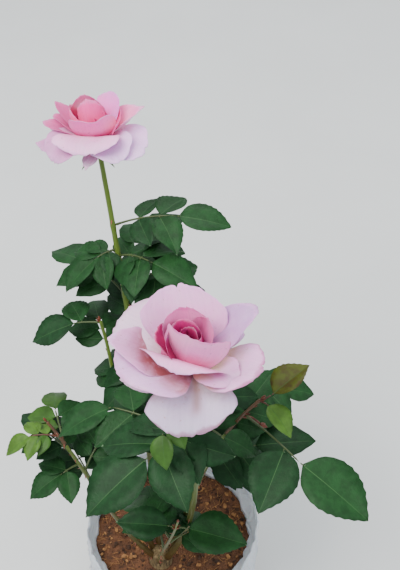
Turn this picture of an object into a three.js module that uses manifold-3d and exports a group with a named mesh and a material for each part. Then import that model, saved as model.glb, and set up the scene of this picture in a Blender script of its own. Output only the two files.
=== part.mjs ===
// A potted rose bush: a white film grow bag filled with coir, a short stump, green canes,
// compound leaves with plain leaflets, and two open pink blooms.
// Millimetres, +Z up, the flat underside of the bag at z = 0 and its middle at x = y = 0.
// A compass bearing is 0 toward -Y (the front), 90 toward +X.
import * as THREE from 'three';
import Module from 'manifold-3d';
import { mergeVertices } from 'three/addons/utils/BufferGeometryUtils.js';

const wasm = await Module();
wasm.setup();
const { Manifold, Mesh } = wasm;

// Driving dimensions
const GAP = 0.3;                 // clearance wherever two pieces meet
const BAG_BASE = 86;             // radius of the flat underside
const BAG_BELLY = 101;           // radius half way up
const BAG_RIM = 99;              // radius at the rim
const BAG_HEIGHT = 152;          // mean height of the rim
const RIM_RISE = 12;             // the rim stands higher at the back and lower in front
const WALL = 2.4;
const FLOOR = 3;
const SOIL = 125;                // level of the coir
const BAG_SIDES = 32;
const STUMP = new THREE.Vector3(-12, -35, SOIL);
const STUMP_TOP = new THREE.Vector3(-10, -34, SOIL + 24);
const STUMP_FLARE = 15;
const STUMP_RADIUS = 11;
const LEAF_THICK = 1.2;
const LEAF_WIDTH = 0.64;         // of the leaflet's length
const PETAL_THICK = 1.1;
const RACHIS = 1.1;              // radius of a leaf stalk
const SPACE_MARGIN = 26;         // how far a leaf may lean into the next mass's space
const HIP = 9;                   // from a bloom's centre down to the foot of its hip
const BLOOMS = {
  front: { centre: new THREE.Vector3(27, -92, 553), tilt: 8, roll: 0, heartRadius: 23, heartHeight: 43 },
  rear: { centre: new THREE.Vector3(-62, 147, 582), tilt: -4, roll: -5, heartRadius: 21, heartHeight: 47 },
};

const degrees = THREE.MathUtils.degToRad;
const mix = THREE.MathUtils.lerp;
const smooth = THREE.MathUtils.smoothstep;

// A repeatable number from 0 to 1 for each pair of keys
function chance(a, b) {
  const value = Math.sin(a * 12.9898 + b * 78.233 + 4.1) * 43758.5453;
  return value - Math.floor(value);
}

function bearing(compass) {
  return new THREE.Vector3(Math.sin(degrees(compass)), -Math.cos(degrees(compass)), 0);
}

// Closed solids from three.js geometry
function solid(geometry, weld = 1e-4) {
  const bare = geometry.clone();
  bare.deleteAttribute('normal');
  bare.deleteAttribute('uv');
  const merged = mergeVertices(bare, weld);
  const corners = merged.index.array;
  const triangles = [];
  for (let i = 0; i < corners.length; i += 3) {
    const [a, b, c] = [corners[i], corners[i + 1], corners[i + 2]];
    if (a !== b && b !== c && c !== a) triangles.push(a, b, c);
  }
  const made = new Manifold(new Mesh({
    numProp: 3,
    vertProperties: new Float32Array(merged.attributes.position.array),
    triVerts: new Uint32Array(triangles),
  }));
  return made.volume() > 0 ? made : solid(flipped(geometry), weld);
}

function flipped(geometry) {
  const turned = geometry.index ? geometry.clone() : mergeVertices(geometry);
  const corners = turned.index.array;
  for (let i = 0; i < corners.length; i += 3) {
    [corners[i], corners[i + 1]] = [corners[i + 1], corners[i]];
  }
  return turned;
}

function shaped(geometry, place) {
  const position = geometry.attributes.position;
  const point = new THREE.Vector3();
  for (let i = 0; i < position.count; i++) {
    point.fromBufferAttribute(position, i);
    place(point);
    position.setXYZ(i, point.x, point.y, point.z);
  }
  return geometry;
}

function geometryOf(body) {
  const { vertProperties, triVerts } = body.getMesh();
  const geometry = new THREE.BufferGeometry();
  geometry.setAttribute('position', new THREE.BufferAttribute(vertProperties, 3));
  geometry.setIndex(new THREE.BufferAttribute(triVerts, 1));
  return geometry;
}

function largest(body) {
  return body.decompose().reduce((best, piece) => (piece.volume() > best.volume() ? piece : best));
}

// The middles of the edges that two folds of the surface share once close corners are one
function pinches(body) {
  const merged = mergeVertices(geometryOf(body), 1e-3);
  const corners = merged.index.array;
  const uses = new Map();
  for (let i = 0; i < corners.length; i++) {
    const next = i % 3 === 2 ? i - 2 : i + 1;
    const ends = [corners[i], corners[next]].sort((a, b) => a - b);
    const key = ends.join(' ');
    uses.set(key, { ends, count: (uses.get(key)?.count ?? 0) + 1 });
  }
  const corner = (i) => new THREE.Vector3().fromBufferAttribute(merged.attributes.position, i);
  return [...uses.values()].filter(({ count }) => count !== 2)
    .map(({ ends }) => corner(ends[0]).lerp(corner(ends[1]), 0.5));
}

// One body from many, with sealed hollows filled, loose scrap dropped, slivers cleared and a
// small knob grown over each pinched edge
function whole(parts, detail = 0.02) {
  let body = Manifold.union(parts);
  for (let pass = 0; pass < 6; pass++) {
    body = largest(body.simplify(detail));
    body = largest(solid(geometryOf(body), 1e-3));
    for (const place of pinches(body)) {
      const knob = new THREE.OctahedronGeometry(0.9 + 0.2 * pass).rotateX(pass + 0.4).rotateZ(1.1);
      body = body.add(solid(knob.translate(place.x, place.y, place.z)));
    }
  }
  return body;
}

// A limb: a tapering tube along a curve from share `from` to share `to`
function limb(curve, from, to, startRadius, endRadius, sides, steps) {
  const tube = new THREE.CylinderGeometry(1, 1, 1, sides, steps);
  return solid(shaped(tube, (point) => {
    const share = point.y + 0.5;
    const at = mix(from, to, share);
    const along = curve.getTangent(at);
    const across = new THREE.Vector3(1, 0, 0);
    if (Math.abs(along.x) > 0.85) across.set(0, 1, 0);
    across.addScaledVector(along, -across.dot(along)).normalize();
    const up = new THREE.Vector3().crossVectors(along, across);
    const radius = mix(startRadius, endRadius, share);
    const [x, z] = [point.x * radius, point.z * radius];
    point.copy(curve.getPoint(at)).addScaledVector(across, x).addScaledVector(up, z);
  }));
}

// Grow bag and coir
function bagRadius(height, angle) {
  const share = height / BAG_HEIGHT;
  const radius = share < 0.5
    ? mix(BAG_BASE, BAG_BELLY, Math.sin(share * Math.PI))
    : mix(BAG_BELLY, BAG_RIM, (share - 0.5) * 2);
  const fold = 1.6 * Math.sin(3 * angle + 0.6) + 0.9 * Math.sin(7 * angle + 2 * share);
  return radius + fold * smooth(share, 0.05, 0.6);
}

function rimHeight(angle) {
  const waves = 3 * Math.sin(2 * angle + 0.4) + 2 * Math.sin(5 * angle + 1.7);
  return BAG_HEIGHT + RIM_RISE * Math.sin(angle) + waves;
}

// A turned body inside the bag's outline, whose upper face is given by its rings and `levelOf`
const BAG_STEPS = [18, 46, 80, 112, SOIL];

function bagBody(inset, bottom, rings, levelOf) {
  const walls = [bottom, ...BAG_STEPS].map((height) => new THREE.Vector2(1, height));
  const lid = rings.map((radial) => new THREE.Vector2(radial, 2 * BAG_HEIGHT));
  const profile = [new THREE.Vector2(0, bottom), ...walls, ...lid];
  return solid(shaped(new THREE.LatheGeometry(profile, BAG_SIDES), (point) => {
    const angle = Math.atan2(point.z, point.x);
    const share = Math.hypot(point.x, point.z);
    const height = point.y > BAG_HEIGHT ? levelOf(angle, share) : point.y;
    const radius = (bagRadius(height, angle) - inset) * share;
    point.set(Math.cos(angle) * radius, Math.sin(angle) * radius, height);
  }));
}

function coirLevel(angle, share) {
  const [x, y] = [Math.cos(angle) * share * BAG_BELLY, Math.sin(angle) * share * BAG_BELLY];
  const away = Math.hypot(x - STUMP.x, y - STUMP.y);
  const lumps = 2.4 * Math.sin(x / 15) * Math.cos(y / 13) + 1.6 * Math.sin((x + y) / 9);
  return SOIL - GAP + (lumps - 1) * smooth(away, STUMP_FLARE + 4, 48);
}

const bagOuter = bagBody(0, 0, [1, 0], (angle, share) => (share > 0.5 ? rimHeight(angle) : BAG_HEIGHT));
const bagInner = bagBody(WALL, FLOOR, [1, 0], () => BAG_HEIGHT + 60);
const bag = whole([bagOuter.subtract(bagInner)]);
const coirRoom = bagBody(WALL + GAP, FLOOR + GAP, [1, 0], () => BAG_HEIGHT + 60);
const coirLump = bagBody(WALL - 1, FLOOR, [1, 0.72, 0.48, 0.3, 0], coirLevel);
const coir = whole([coirRoom.intersect(coirLump)]);

// Stump, with canes springing from its crown
const trunkLean = new THREE.LineCurve3(STUMP, STUMP_TOP);
const stump = solid(shaped(new THREE.CylinderGeometry(1, 1, 1, 14, 4), (point) => {
  const share = point.y + 0.5;
  const swell = share > 0.8 ? 1 - 1.4 * (share - 0.8) : 1;
  const radius = mix(STUMP_FLARE, STUMP_RADIUS, Math.sqrt(share)) * swell;
  const centre = trunkLean.getPoint(share);
  point.set(centre.x + point.x * radius, centre.y + point.z * radius, centre.z);
}));
const stumpClear = solid(shaped(new THREE.CylinderGeometry(1, 1, 1, 14, 4), (point) => {
  const share = point.y + 0.5;
  const swell = share > 0.8 ? 1 - 1.4 * (share - 0.8) : 1;
  const radius = mix(STUMP_FLARE, STUMP_RADIUS, Math.sqrt(share)) * swell + GAP;
  const centre = trunkLean.getPoint(share);
  point.set(centre.x + point.x * radius, centre.y + point.z * radius, centre.z + GAP * share);
}));

// Each cane: where it springs on the crown (bearing, distance out, height), the bloom it carries
// or the place it ends, how it leans at the foot (bearing, degrees off plumb, share of length) and
// at the tip, the share of it that is bare bough, and its radius at foot and tip
const CANES = [
  { name: 'front', foot: [42, 8.5, 16], bloom: BLOOMS.front,
    lean: [72, 22, 0.32], reach: 0.34, bough: 0.52, radii: [3.4, 2.3] },
  { name: 'rear', foot: [196, 8.5, 16], bloom: BLOOMS.rear,
    lean: [190, 12, 0.34], reach: 0.30, bough: 0.44, radii: [3.4, 2.4] },
  { name: 'left', foot: [-66, 8.5, 12], tip: new THREE.Vector3(-112, -32, 392),
    lean: [-86, 30, 0.34], arrive: [-95, 24], reach: 0.30, bough: 0.42, radii: [3.0, 1.4] },
  { name: 'right', foot: [94, 8.5, 12], tip: new THREE.Vector3(86, -64, 470),
    lean: [80, 14, 0.34], arrive: [92, 36], reach: 0.30, bough: 0.46, radii: [3.1, 1.2] },
  { name: 'back_right', foot: [145, 8.5, 12], tip: new THREE.Vector3(88, 62, 316),
    lean: [140, 30, 0.34], arrive: [128, 34], reach: 0.30, bough: 0.42, radii: [2.8, 1.5] },
  { name: 'back_left', foot: [-116, 8.5, 12], tip: new THREE.Vector3(-66, 66, 425),
    lean: [-116, 22, 0.34], arrive: [-115, 12], reach: 0.30, bough: 0.42, radii: [3.0, 1.6] },
  { name: 'low', foot: [-12, 9, 10], tip: new THREE.Vector3(12, -98, 322),
    lean: [-10, 28, 0.34], arrive: [20, 14], reach: 0.30, bough: 0.40, radii: [2.0, 1.1] },
];

function heading(compass, offPlumb) {
  return bearing(compass).multiplyScalar(Math.sin(degrees(offPlumb)))
    .add(new THREE.Vector3(0, 0, Math.cos(degrees(offPlumb))));
}

function bloomAxis({ tilt, roll }) {
  return new THREE.Vector3(0, 0, 1).applyAxisAngle(new THREE.Vector3(1, 0, 0), degrees(tilt))
    .applyAxisAngle(new THREE.Vector3(0, 1, 0), degrees(roll));
}

function caneCurve(cane) {
  const { foot, lean, bloom, reach } = cane;
  const way = bloom ? bloomAxis(bloom) : heading(cane.arrive[0], cane.arrive[1]);
  const tip = bloom ? bloom.centre.clone().addScaledVector(way, -HIP - GAP) : cane.tip;
  const start = STUMP_TOP.clone().addScaledVector(bearing(foot[0]), foot[1]);
  start.z = SOIL + foot[2];
  const length = start.distanceTo(tip);
  return new THREE.CubicBezierCurve3(
    start,
    start.clone().addScaledVector(heading(lean[0], lean[1]), length * lean[2]),
    tip.clone().addScaledVector(way, -length * reach),
    tip,
  );
}

const canes = CANES.map((cane) => {
  const curve = caneCurve(cane);
  const { bough, radii } = cane;
  const waist = mix(radii[0], radii[1], bough);
  const gapShare = GAP / (curve.getPoint(bough).distanceTo(curve.getPoint(bough + 0.01)) / 0.01);
  const whip = limb(curve, 0, bough, radii[0], waist, 6, 7);
  return {
    ...cane,
    curve,
    stemFrom: bough + gapShare,
    waist,
    bough: whole([whip.subtract(stumpClear)]),
  };
});

// Leaves. A leaf is a stalk with leaflets in pairs and one at its end.
// A leaflet is three-sided: a flat upper face over a keel, wide in the middle, with a stout root.
function leaflet(base, along, face, length) {
  const across = new THREE.Vector3().crossVectors(along, face).normalize();
  const rows = [[-0.02, 0.9, 0.9], [0.30, 0.5 * length * LEAF_WIDTH, LEAF_THICK],
    [0.70, 0.42 * length * LEAF_WIDTH, LEAF_THICK], [1, 0, 0]];
  return solid(shaped(new THREE.CylinderGeometry(1, 1, 1, 3, 3), (point) => {
    const [share, half, keel] = rows[Math.round((point.y + 0.5) * 3)];
    const sideways = point.x / 0.866 * half;
    const depth = (point.z - 0.5) * keel / 1.5 + keel * 0.4;
    const droop = length * 0.14 * share * share;
    point.copy(base).addScaledVector(along, share * length).addScaledVector(across, sideways)
      .addScaledVector(face, depth - droop);
  }));
}

// The stalk bends down evenly along its reach
function stalkPoint(leaf, reach) {
  const point = leaf.start.clone();
  const steps = 8;
  const flat = bearing(leaf.compass);
  for (let i = 0; i < steps; i++) {
    const rise = degrees(leaf.rise - leaf.droop * reach / leaf.reach * (i + 0.5) / steps);
    point.addScaledVector(flat, Math.cos(rise) * reach / steps);
    point.z += Math.sin(rise) * reach / steps;
  }
  return point;
}

function stalkFrame(leaf, reach, extra) {
  const rise = degrees(leaf.rise - leaf.droop * reach / leaf.reach - extra);
  const flat = bearing(leaf.compass);
  const along = flat.clone().multiplyScalar(Math.cos(rise)).add(new THREE.Vector3(0, 0, Math.sin(rise)));
  const side = new THREE.Vector3().crossVectors(along, new THREE.Vector3(0, 0, 1)).normalize();
  const face = new THREE.Vector3().crossVectors(side, along);
  face.applyAxisAngle(along, degrees(leaf.roll));
  side.applyAxisAngle(along, degrees(leaf.roll));
  return { along, side, face };
}

function leafletsOf(leaf) {
  const list = [];
  const end = stalkFrame(leaf, leaf.reach, 4);
  end.along.applyAxisAngle(end.face, degrees(leaf.veer));
  list.push({ base: stalkPoint(leaf, leaf.reach), along: end.along, face: end.face, length: leaf.length });
  const pairs = (leaf.count - 1) / 2;
  for (let pair = 0; pair < pairs; pair++) {
    const reach = leaf.reach * (0.74 - 0.32 * pair);
    const frame = stalkFrame(leaf, reach, 0);
    for (const hand of [-1, 1].filter((each) => each !== leaf.lost)) {
      const spread = degrees(62 + 6 * pair);
      const along = frame.along.clone().multiplyScalar(Math.cos(spread))
        .addScaledVector(frame.side, hand * Math.sin(spread))
        .addScaledVector(frame.face, -0.12).normalize();
      const face = frame.face.clone().addScaledVector(along, -frame.face.dot(along)).normalize();
      list.push({ base: stalkPoint(leaf, reach), along, face, length: leaf.length * (0.84 - 0.14 * pair) });
    }
  }
  return list;
}

// How each mass is furnished: leaves up its stem, the shares of the stem between which they grow,
// the first bearing and the arc they turn through, and leaflet length at the bottom and at the top
const FOLIAGE = {
  front: { leaves: 4, from: 0.04, until: 0.46, first: 80, arc: 200, long: [60, 52], seed: 1 },
  rear: { leaves: 7, from: 0.02, until: 0.58, first: -10, arc: 250, long: [60, 46], seed: 2 },
  left: { leaves: 4, from: 0.20, until: 0.86, first: -220, arc: 130, long: [48, 36], seed: 3 },
  right: { leaves: 4, from: 0.06, until: 0.70, first: 100, arc: 110, long: [50, 42], seed: 4 },
  back_right: { leaves: 7, from: 0.04, until: 0.94, first: 70, arc: 150, long: [54, 40], seed: 5 },
  back_left: { leaves: 5, from: 0.04, until: 0.84, first: -246, arc: 84, long: [54, 42], seed: 6 },
  low: { leaves: 3, from: 0.06, until: 0.60, first: 110, arc: 140, long: [46, 38], seed: 7 },
};

// Leaves that show plainly from the front: place on the stem, bearing, rise, droop, reach, leaflet
// length, leaflets, roll, how far the end leaflet veers, and the side whose leaflets are lost
const SEEN = {
  front: [
    [0.61, -43, 11, 23, 55, 70, 5, 4, -10, 0],
    [0.84, -37, -11, 20, 43, 29, 3, 0, 31, 1],
    [0.67, -17, -3, 28, 28, 44, 1, 0, 85, 0],
    [0.58, 61, -1, 21, 28, 36, 1, 0, 18, 0],
    [0.39, -109, 27, 33, 82, 54, 5, 0, 39, 0],
  ],
  rear: [
    [0.66, 86, 30, 30, 66, 54, 5, 0, 0, 0],
    [0.50, 58, 20, 36, 60, 60, 5, 0, 0, 0],
    [0.56, -56, 18, 36, 24, 44, 5, 0, 0, 0],
  ],
  right: [
    [0.84, 40, 14, 19, 70, 72, 3, -4, 11, -1],
    [0.91, 101, 45, 16, 22, 42, 1, 0, 21, 0],
    [0.98, 54, 19, 24, 8, 34, 1, 0, -12, 0],
  ],
  left: [
    [0.82, -84, 34, 47, 28, 30, 5, 0, 18, 0],
    [0.51, -50, 25, 34, 20, 40, 3, 0, -11, 0],
  ],
  back_left: [
    [0.98, -93, 3, 16, 25, 51, 3, 0, 11, -1],
  ],
  low: [
    [0.83, 72, 30, 17, 11, 60, 1, 0, 0, 0],
    [0.80, -96, 40, 14, 6, 52, 1, 0, 10, 0],
  ],
};

const GOLDEN = 0.618034;

function leavesOf(cane) {
  const { leaves, from, until, first, arc, long, seed } = FOLIAGE[cane.name];
  const rows = (SEEN[cane.name] ?? []).map((row) => {
    const [at, compass, rise, droop, reach, length, count, roll, veer, lost] = row;
    return { at, compass, rise, droop, reach, length, count, roll, veer, lost };
  });
  for (let i = 0; i < leaves; i++) {
    const at = mix(from, until, (i + 0.35) / leaves);
    const length = mix(long[0], long[1], at);
    rows.push({
      at,
      compass: first + arc * ((0.5 + GOLDEN * i) % 1) + 24 * (chance(seed, i) - 0.5),
      rise: mix(24, 48, chance(seed, i + 20)),
      droop: mix(30, 54, chance(seed, i + 40)),
      reach: length * mix(0.8, 1.0, chance(seed, i + 60)),
      length,
      count: i % 2 ? 3 : 5,
      roll: 24 * (chance(seed, i + 80) - 0.5),
      veer: 20 * (chance(seed, i + 100) - 0.5),
      lost: 0,
    });
  }
  for (const row of rows) {
    row.start = cane.curve.getPoint(mix(cane.stemFrom, 1, row.at));
  }
  return rows;
}

// Petals. The profile leans from the bloom's axis by three angles, at the root, half way and
// at the tip; the cross section bends in by `wrap` and rolls out at its edges by `roll`; the
// whole petal veers to one side by `veer`.
const PETAL_STEPS = 16;
const PETAL_FORM = { out: 5, up: 0, corner: 0.34, point: 0, roll: 0, veer: 0, top: 0.78 };

class Petal {
  constructor(compass, [length, width], [root, middle, tip], wrap, form = {}) {
    Object.assign(this, PETAL_FORM, form, { compass, length, width, root, middle, tip, wrap });
    this.profile = [];
    let [r, z] = [this.out, this.up];
    for (let i = 0; i <= PETAL_STEPS; i++) {
      this.profile.push([r, z, this.lean(i / PETAL_STEPS)]);
      const lean = this.lean((i + 0.5) / PETAL_STEPS);
      r += Math.sin(lean) * length / PETAL_STEPS;
      z += Math.cos(lean) * length / PETAL_STEPS;
    }
  }

  lean(s) {
    return degrees(s < 0.55
      ? mix(this.root, this.middle, smooth(s / 0.55, 0, 1))
      : mix(this.middle, this.tip, smooth((s - 0.55) / 0.45, 0, 1) ** 1.3));
  }

  half(s) {
    const claw = 0.26;
    const share = s < 0.62
      ? claw + (1 - claw) * Math.sin(Math.PI / 2 * s / 0.62) ** 1.15
      : 1 - (1 - this.top) * ((s - 0.62) / 0.38) ** 2;
    return this.width / 2 * share;
  }

  place(u, v, thick) {
    let s = v * (1 - this.corner * Math.abs(u) ** 2.6 * v * v);
    s = Math.min(0.9999, s);
    const step = Math.floor(s * PETAL_STEPS);
    const share = s * PETAL_STEPS - step;
    const [a, b] = [this.profile[step], this.profile[step + 1]];
    const [r, z, lean] = [mix(a[0], b[0], share), mix(a[1], b[1], share), mix(a[2], b[2], share)];
    const half = this.half(s);
    const wrap = degrees(this.wrap) * (0.35 + 0.65 * smooth(s / 0.7, 0, 1));
    const roll = degrees(this.roll) * smooth(s, 0.15, 0.85);
    let [side, inward] = [0, 0];
    const pieces = 8;
    for (let k = 0; k < pieces; k++) {
      const q = Math.abs(u) * (k + 0.5) / pieces;
      const bend = wrap * q - roll * Math.max(0, 2 * q - 1) ** 2;
      side += Math.cos(bend) * half * Math.abs(u) / pieces;
      inward += Math.sin(bend) * half * Math.abs(u) / pieces;
    }
    inward += thick;
    const point = this.point * v ** 6 * Math.exp(-((u / 0.22) ** 2));
    const out = r + Math.sin(lean) * point - Math.cos(lean) * inward;
    const rise = z + Math.cos(lean) * point + Math.sin(lean) * inward;
    const veer = Math.tan(degrees(this.veer)) * s * this.length;
    return bearing(this.compass).multiplyScalar(out)
      .addScaledVector(bearing(this.compass + 90), side * Math.sign(u) + veer)
      .add(new THREE.Vector3(0, 0, rise));
  }

  solid() {
    const sheet = new THREE.BoxGeometry(2, 1, 1, 3, 3, 1);
    return solid(shaped(sheet, (point) => {
      const [u, v] = [point.x, point.y + 0.5];
      point.copy(this.place(u, v, point.z * PETAL_THICK));
    }));
  }
}

// Bearing; length and width; leans at root, middle and tip; wrap; and what differs from the
// common form.
const PETALS_FRONT = [
  new Petal(5, [54, 72], [93, 113, 135], 17, { out: 4.2, up: -1, corner: 0.42, roll: 19, veer: -7 }),
  new Petal(-53, [58, 66], [66, 64, 78], 23, { out: 4.5, up: -2, roll: 9, veer: -13 }),
  new Petal(-79, [53, 47], [81, 89, 99], 23, { up: -3, corner: 0.29, veer: -3 }),
  new Petal(-80, [63, 44], [70, 59, 59], 6, { out: 4.6, corner: 0.42, point: 3, roll: 5, veer: -12 }),
  new Petal(-119, [64, 62], [59, 76, 95], 22, { corner: 0.27, roll: 19, top: 0.82 }),
  new Petal(113, [67, 33], [43, 47, 91], 32, { out: 4.5, corner: 0.41, roll: 24, veer: 4, top: 0.71 }),
  new Petal(59, [54, 50], [70, 63, 79], 15, { up: -1, corner: 0.27, roll: 23, veer: 11, top: 0.86 }),
  new Petal(41, [42, 35], [56, 72, 102], 33, { out: 3.7, up: 2, roll: 17, veer: 9 }),
  new Petal(160, [50, 62], [70, 92, 104], 15, { up: -2, corner: 0.36, roll: 20 }),
  new Petal(-150, [54, 60], [66, 84, 92], 15, { up: -1, roll: 20 }),
  new Petal(183, [60, 70], [35, 46, 52], 39, { out: 4, up: 1, corner: 0.32, roll: 20, veer: 8 }),
  new Petal(-19, [40, 69], [16, 33, 130], 2, { out: 4, up: 2, corner: 0.6, roll: 8, veer: 6, top: 0.62 }),
  new Petal(-10, [51, 52], [2, 9, 5], 47, { out: 7.4, up: 4, corner: 0.18, veer: 15, top: 0.94 }),
];
const PETALS_REAR = [
  new Petal(-90, [55, 41], [29, 111, 72], 2, { corner: 0.44, point: 3, roll: 18, veer: 7, top: 0.82 }),
  new Petal(-49, [53, 52], [28, 98, 133], 26, { up: 1, corner: 0.26, veer: 2, top: 0.96 }),
  new Petal(-7, [43, 55], [27, 88, 91], 18, { out: 4.8, up: 2, corner: 0.43, veer: 2 }),
  new Petal(30, [53, 46], [28, 97, 118], 22, { up: 1, corner: 0.39, roll: 19, top: 0.81 }),
  new Petal(57, [53, 57], [32, 104, 109], 13, { out: 5.5, up: -1, roll: 14, top: 0.75 }),
  new Petal(97, [49, 37], [36, 58, 71], 38, { out: 4.5, up: 1, corner: 0.47, point: 5, roll: 28 }),
  new Petal(140, [47, 31], [30, 31, 19], 31, { out: 4.3, up: 1, corner: 0.22, veer: -4, top: 0.83 }),
  new Petal(176, [52, 60], [70, 90, 100], 15, { up: -2, roll: 20 }),
  new Petal(-140, [52, 54], [60, 80, 90], 15, { up: -1, roll: 20 }),
  new Petal(-111, [53, 17], [50, 43, 40], 41, { out: 4.1, up: 1, corner: 0.52, point: 4, veer: -3 }),
  new Petal(-90, [50, 23], [53, 70, 68], 37, { out: 3.8, up: 2, corner: 0.37, veer: -6 }),
  new Petal(1, [44, 50], [58, 9, 49], 59, { out: 4.7, up: 3, corner: 0.3 }),
];

function bloomSolid({ centre, tilt, roll, heartRadius, heartHeight }, petals) {
  const profile = [
    [0, -HIP], [2.6, -HIP], [5.2, -6], [6, -1], [heartRadius * 0.6, 6], [heartRadius * 0.9, 15],
    [heartRadius, heartHeight * 0.6], [heartRadius * 0.84, heartHeight * 0.92],
    [heartRadius * 0.62, heartHeight], [heartRadius * 0.36, heartHeight * 0.84], [0, heartHeight * 0.78],
  ].map(([x, y]) => new THREE.Vector2(x, y));
  const heart = solid(shaped(new THREE.LatheGeometry(profile, 12), (point) => {
    const [x, y, z] = [point.x, point.y, point.z];
    point.set(x, z, y);
  }));
  const sepals = [0, 72, 144, 216, 288].map((turn) => (
    new Petal(turn + 36, [30, 12], [100, 128, 140], 8, { out: 2.5, up: -4, corner: 0.2, point: 6 })
      .solid()));
  const all = whole([heart, ...petals.map((petal) => petal.solid()), ...sepals], 0.5);
  return all.rotate([tilt, roll, 0]).translate(centre.toArray());
}

const bloomFront = bloomSolid(BLOOMS.front, PETALS_FRONT);
const bloomRear = bloomSolid(BLOOMS.rear, PETALS_REAR);

// Masses of foliage. A leaflet that would touch another node, or that hangs nearer to another
// mass's stem than its own space allows, is left off.
const fixed = [bagOuter, stumpClear, bloomFront, bloomRear, ...canes.map((cane) => cane.bough)];
const stems = canes.map((cane) => {
  const { curve, stemFrom, waist, radii } = cane;
  return limb(curve, stemFrom, 1, waist, radii[1], 6, 6);
});

function boxesApart(a, b) {
  const [first, second] = [a.boundingBox(), b.boundingBox()];
  return [0, 1, 2].some((k) => first.min[k] > second.max[k] + 1 || second.min[k] > first.max[k] + 1);
}

function touches(piece, others) {
  return others.some((other) => !boxesApart(piece, other) && piece.minGap(other, 1) < 0.6);
}

const stemPoints = canes.map((cane) => (
  [0, 0.25, 0.5, 0.75, 1].map((share) => cane.curve.getPoint(mix(cane.stemFrom, 1, share)))));

function inSpace(point, index) {
  const reach = stemPoints.map((points) => Math.min(...points.map((p) => p.distanceTo(point))));
  return reach.every((other, k) => k === index || reach[index] < other + SPACE_MARGIN);
}

const grown = [];
canes.forEach((cane, index) => {
  const others = [...fixed, ...stems.filter((stem, k) => k !== index), ...grown];
  const parts = [stems[index]];
  for (const leaf of leavesOf(cane)) {
    const stalk = new THREE.CatmullRomCurve3(
      [0, 0.5, 1].map((share) => stalkPoint(leaf, leaf.reach * share)),
    );
    const stalkSolid = limb(stalk, 0, 1, RACHIS, RACHIS * 0.75, 3, 2);
    const clear = leafletsOf(leaf).map(({ base, along, face, length }) => {
      const middle = base.clone().addScaledVector(along, length * 0.5);
      const blade = leaflet(base, along, face, length);
      return inSpace(middle, index) && !touches(blade, others) ? blade : null;
    });
    const kept = clear.filter((piece) => piece);
    const sound = clear[0] && kept.length > clear.length / 2 && !touches(stalkSolid, others);
    if (sound) {
      parts.push(stalkSolid, ...kept);
    }
  }
  const mass = whole(parts, 0.4);
  grown.push(mass);
});

// Assembly
const LOOK = {
  film: new THREE.MeshStandardMaterial({ color: '#b4b6be', roughness: 0.7, metalness: 0 }),
  coir: new THREE.MeshStandardMaterial({ color: '#5c3b24', roughness: 1, metalness: 0 }),
  bark: new THREE.MeshStandardMaterial({ color: '#6b5a34', roughness: 0.9, metalness: 0 }),
  cane: new THREE.MeshStandardMaterial({ color: '#5f7434', roughness: 0.6, metalness: 0 }),
  leaf: new THREE.MeshStandardMaterial({ color: '#31553a', roughness: 0.5, metalness: 0 }),
  petal: new THREE.MeshStandardMaterial({ color: '#d9bdd0', roughness: 0.6, metalness: 0 }),
};

const group = new THREE.Group();
group.name = 'rose_bush';

function addNode(name, body, look) {
  const mesh = new THREE.Mesh(geometryOf(body), look.clone());
  mesh.name = name;
  group.add(mesh);
}

addNode('grow_bag', bag, LOOK.film);
addNode('coir', coir, LOOK.coir);
addNode('trunk', stump, LOOK.bark);
canes.forEach((cane) => addNode(`cane_${cane.name}`, cane.bough, LOOK.cane));
canes.forEach((cane, index) => addNode(`foliage_${cane.name}`, grown[index], LOOK.leaf));
addNode('bloom_front', bloomFront, LOOK.petal);
addNode('bloom_rear', bloomRear, LOOK.petal);

export default group;
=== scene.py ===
"""Dresses the potted rose bush: film bag, coir, canes with thorns, compound leaves, two blooms.

Lengths are in millimetres and turned to metres where a mesh is finished. +Z is up. A compass
bearing is 0 toward -Y, the front, and 90 toward +X. A share runs from 0 at a piece's foot to 1.
"""
import math

import bmesh
import bpy
from mathutils import Matrix, Vector, noise


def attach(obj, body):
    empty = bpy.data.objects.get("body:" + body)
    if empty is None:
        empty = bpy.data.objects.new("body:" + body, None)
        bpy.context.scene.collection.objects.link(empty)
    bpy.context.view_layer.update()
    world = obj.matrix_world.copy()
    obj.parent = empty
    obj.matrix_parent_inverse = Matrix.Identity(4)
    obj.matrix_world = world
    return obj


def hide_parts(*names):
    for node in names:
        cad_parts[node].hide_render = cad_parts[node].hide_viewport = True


bl_info = {
    "name": "Potted rose bush",
    "version": (1, 0, 0),
    "blender": (4, 5, 0),
    "location": "View3D > Sidebar > Rose bush",
    "description": "Builds a rose bush in a white grow bag over its solid model",
    "category": "Object",
}

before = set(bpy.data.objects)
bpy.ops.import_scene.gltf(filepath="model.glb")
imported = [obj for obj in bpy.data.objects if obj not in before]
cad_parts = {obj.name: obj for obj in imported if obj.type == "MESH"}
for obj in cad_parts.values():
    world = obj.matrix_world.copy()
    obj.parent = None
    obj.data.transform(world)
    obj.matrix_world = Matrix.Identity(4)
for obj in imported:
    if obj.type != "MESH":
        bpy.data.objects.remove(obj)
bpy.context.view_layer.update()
MM = 0.001
MM_SCALE = Matrix.Diagonal((MM, MM, MM, 1))


def srgb(code):
    """A hex colour as linear red, green and blue."""
    parts = [int(code[i:i + 2], 16) / 255 for i in (1, 3, 5)]
    return tuple(c / 12.92 if c <= 0.04045 else ((c + 0.055) / 1.055) ** 2.4 for c in parts)


def mix(a, b, share):
    """The value a share of the way from `a` to `b`."""
    return a + (b - a) * share


def clamp(value, low=0.0, high=1.0):
    return max(low, min(high, value))


def smooth(value, low=0.0, high=1.0):
    """0 below `low`, 1 above `high` and an even ease between them."""
    share = clamp((value - low) / (high - low))
    return share * share * (3 - 2 * share)


def chance(a, b):
    """A repeatable number from 0 to 1 for each pair of keys, the same as in the solid model."""
    value = math.sin(a * 12.9898 + b * 78.233 + 4.1) * 43758.5453
    return value - math.floor(value)


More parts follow.
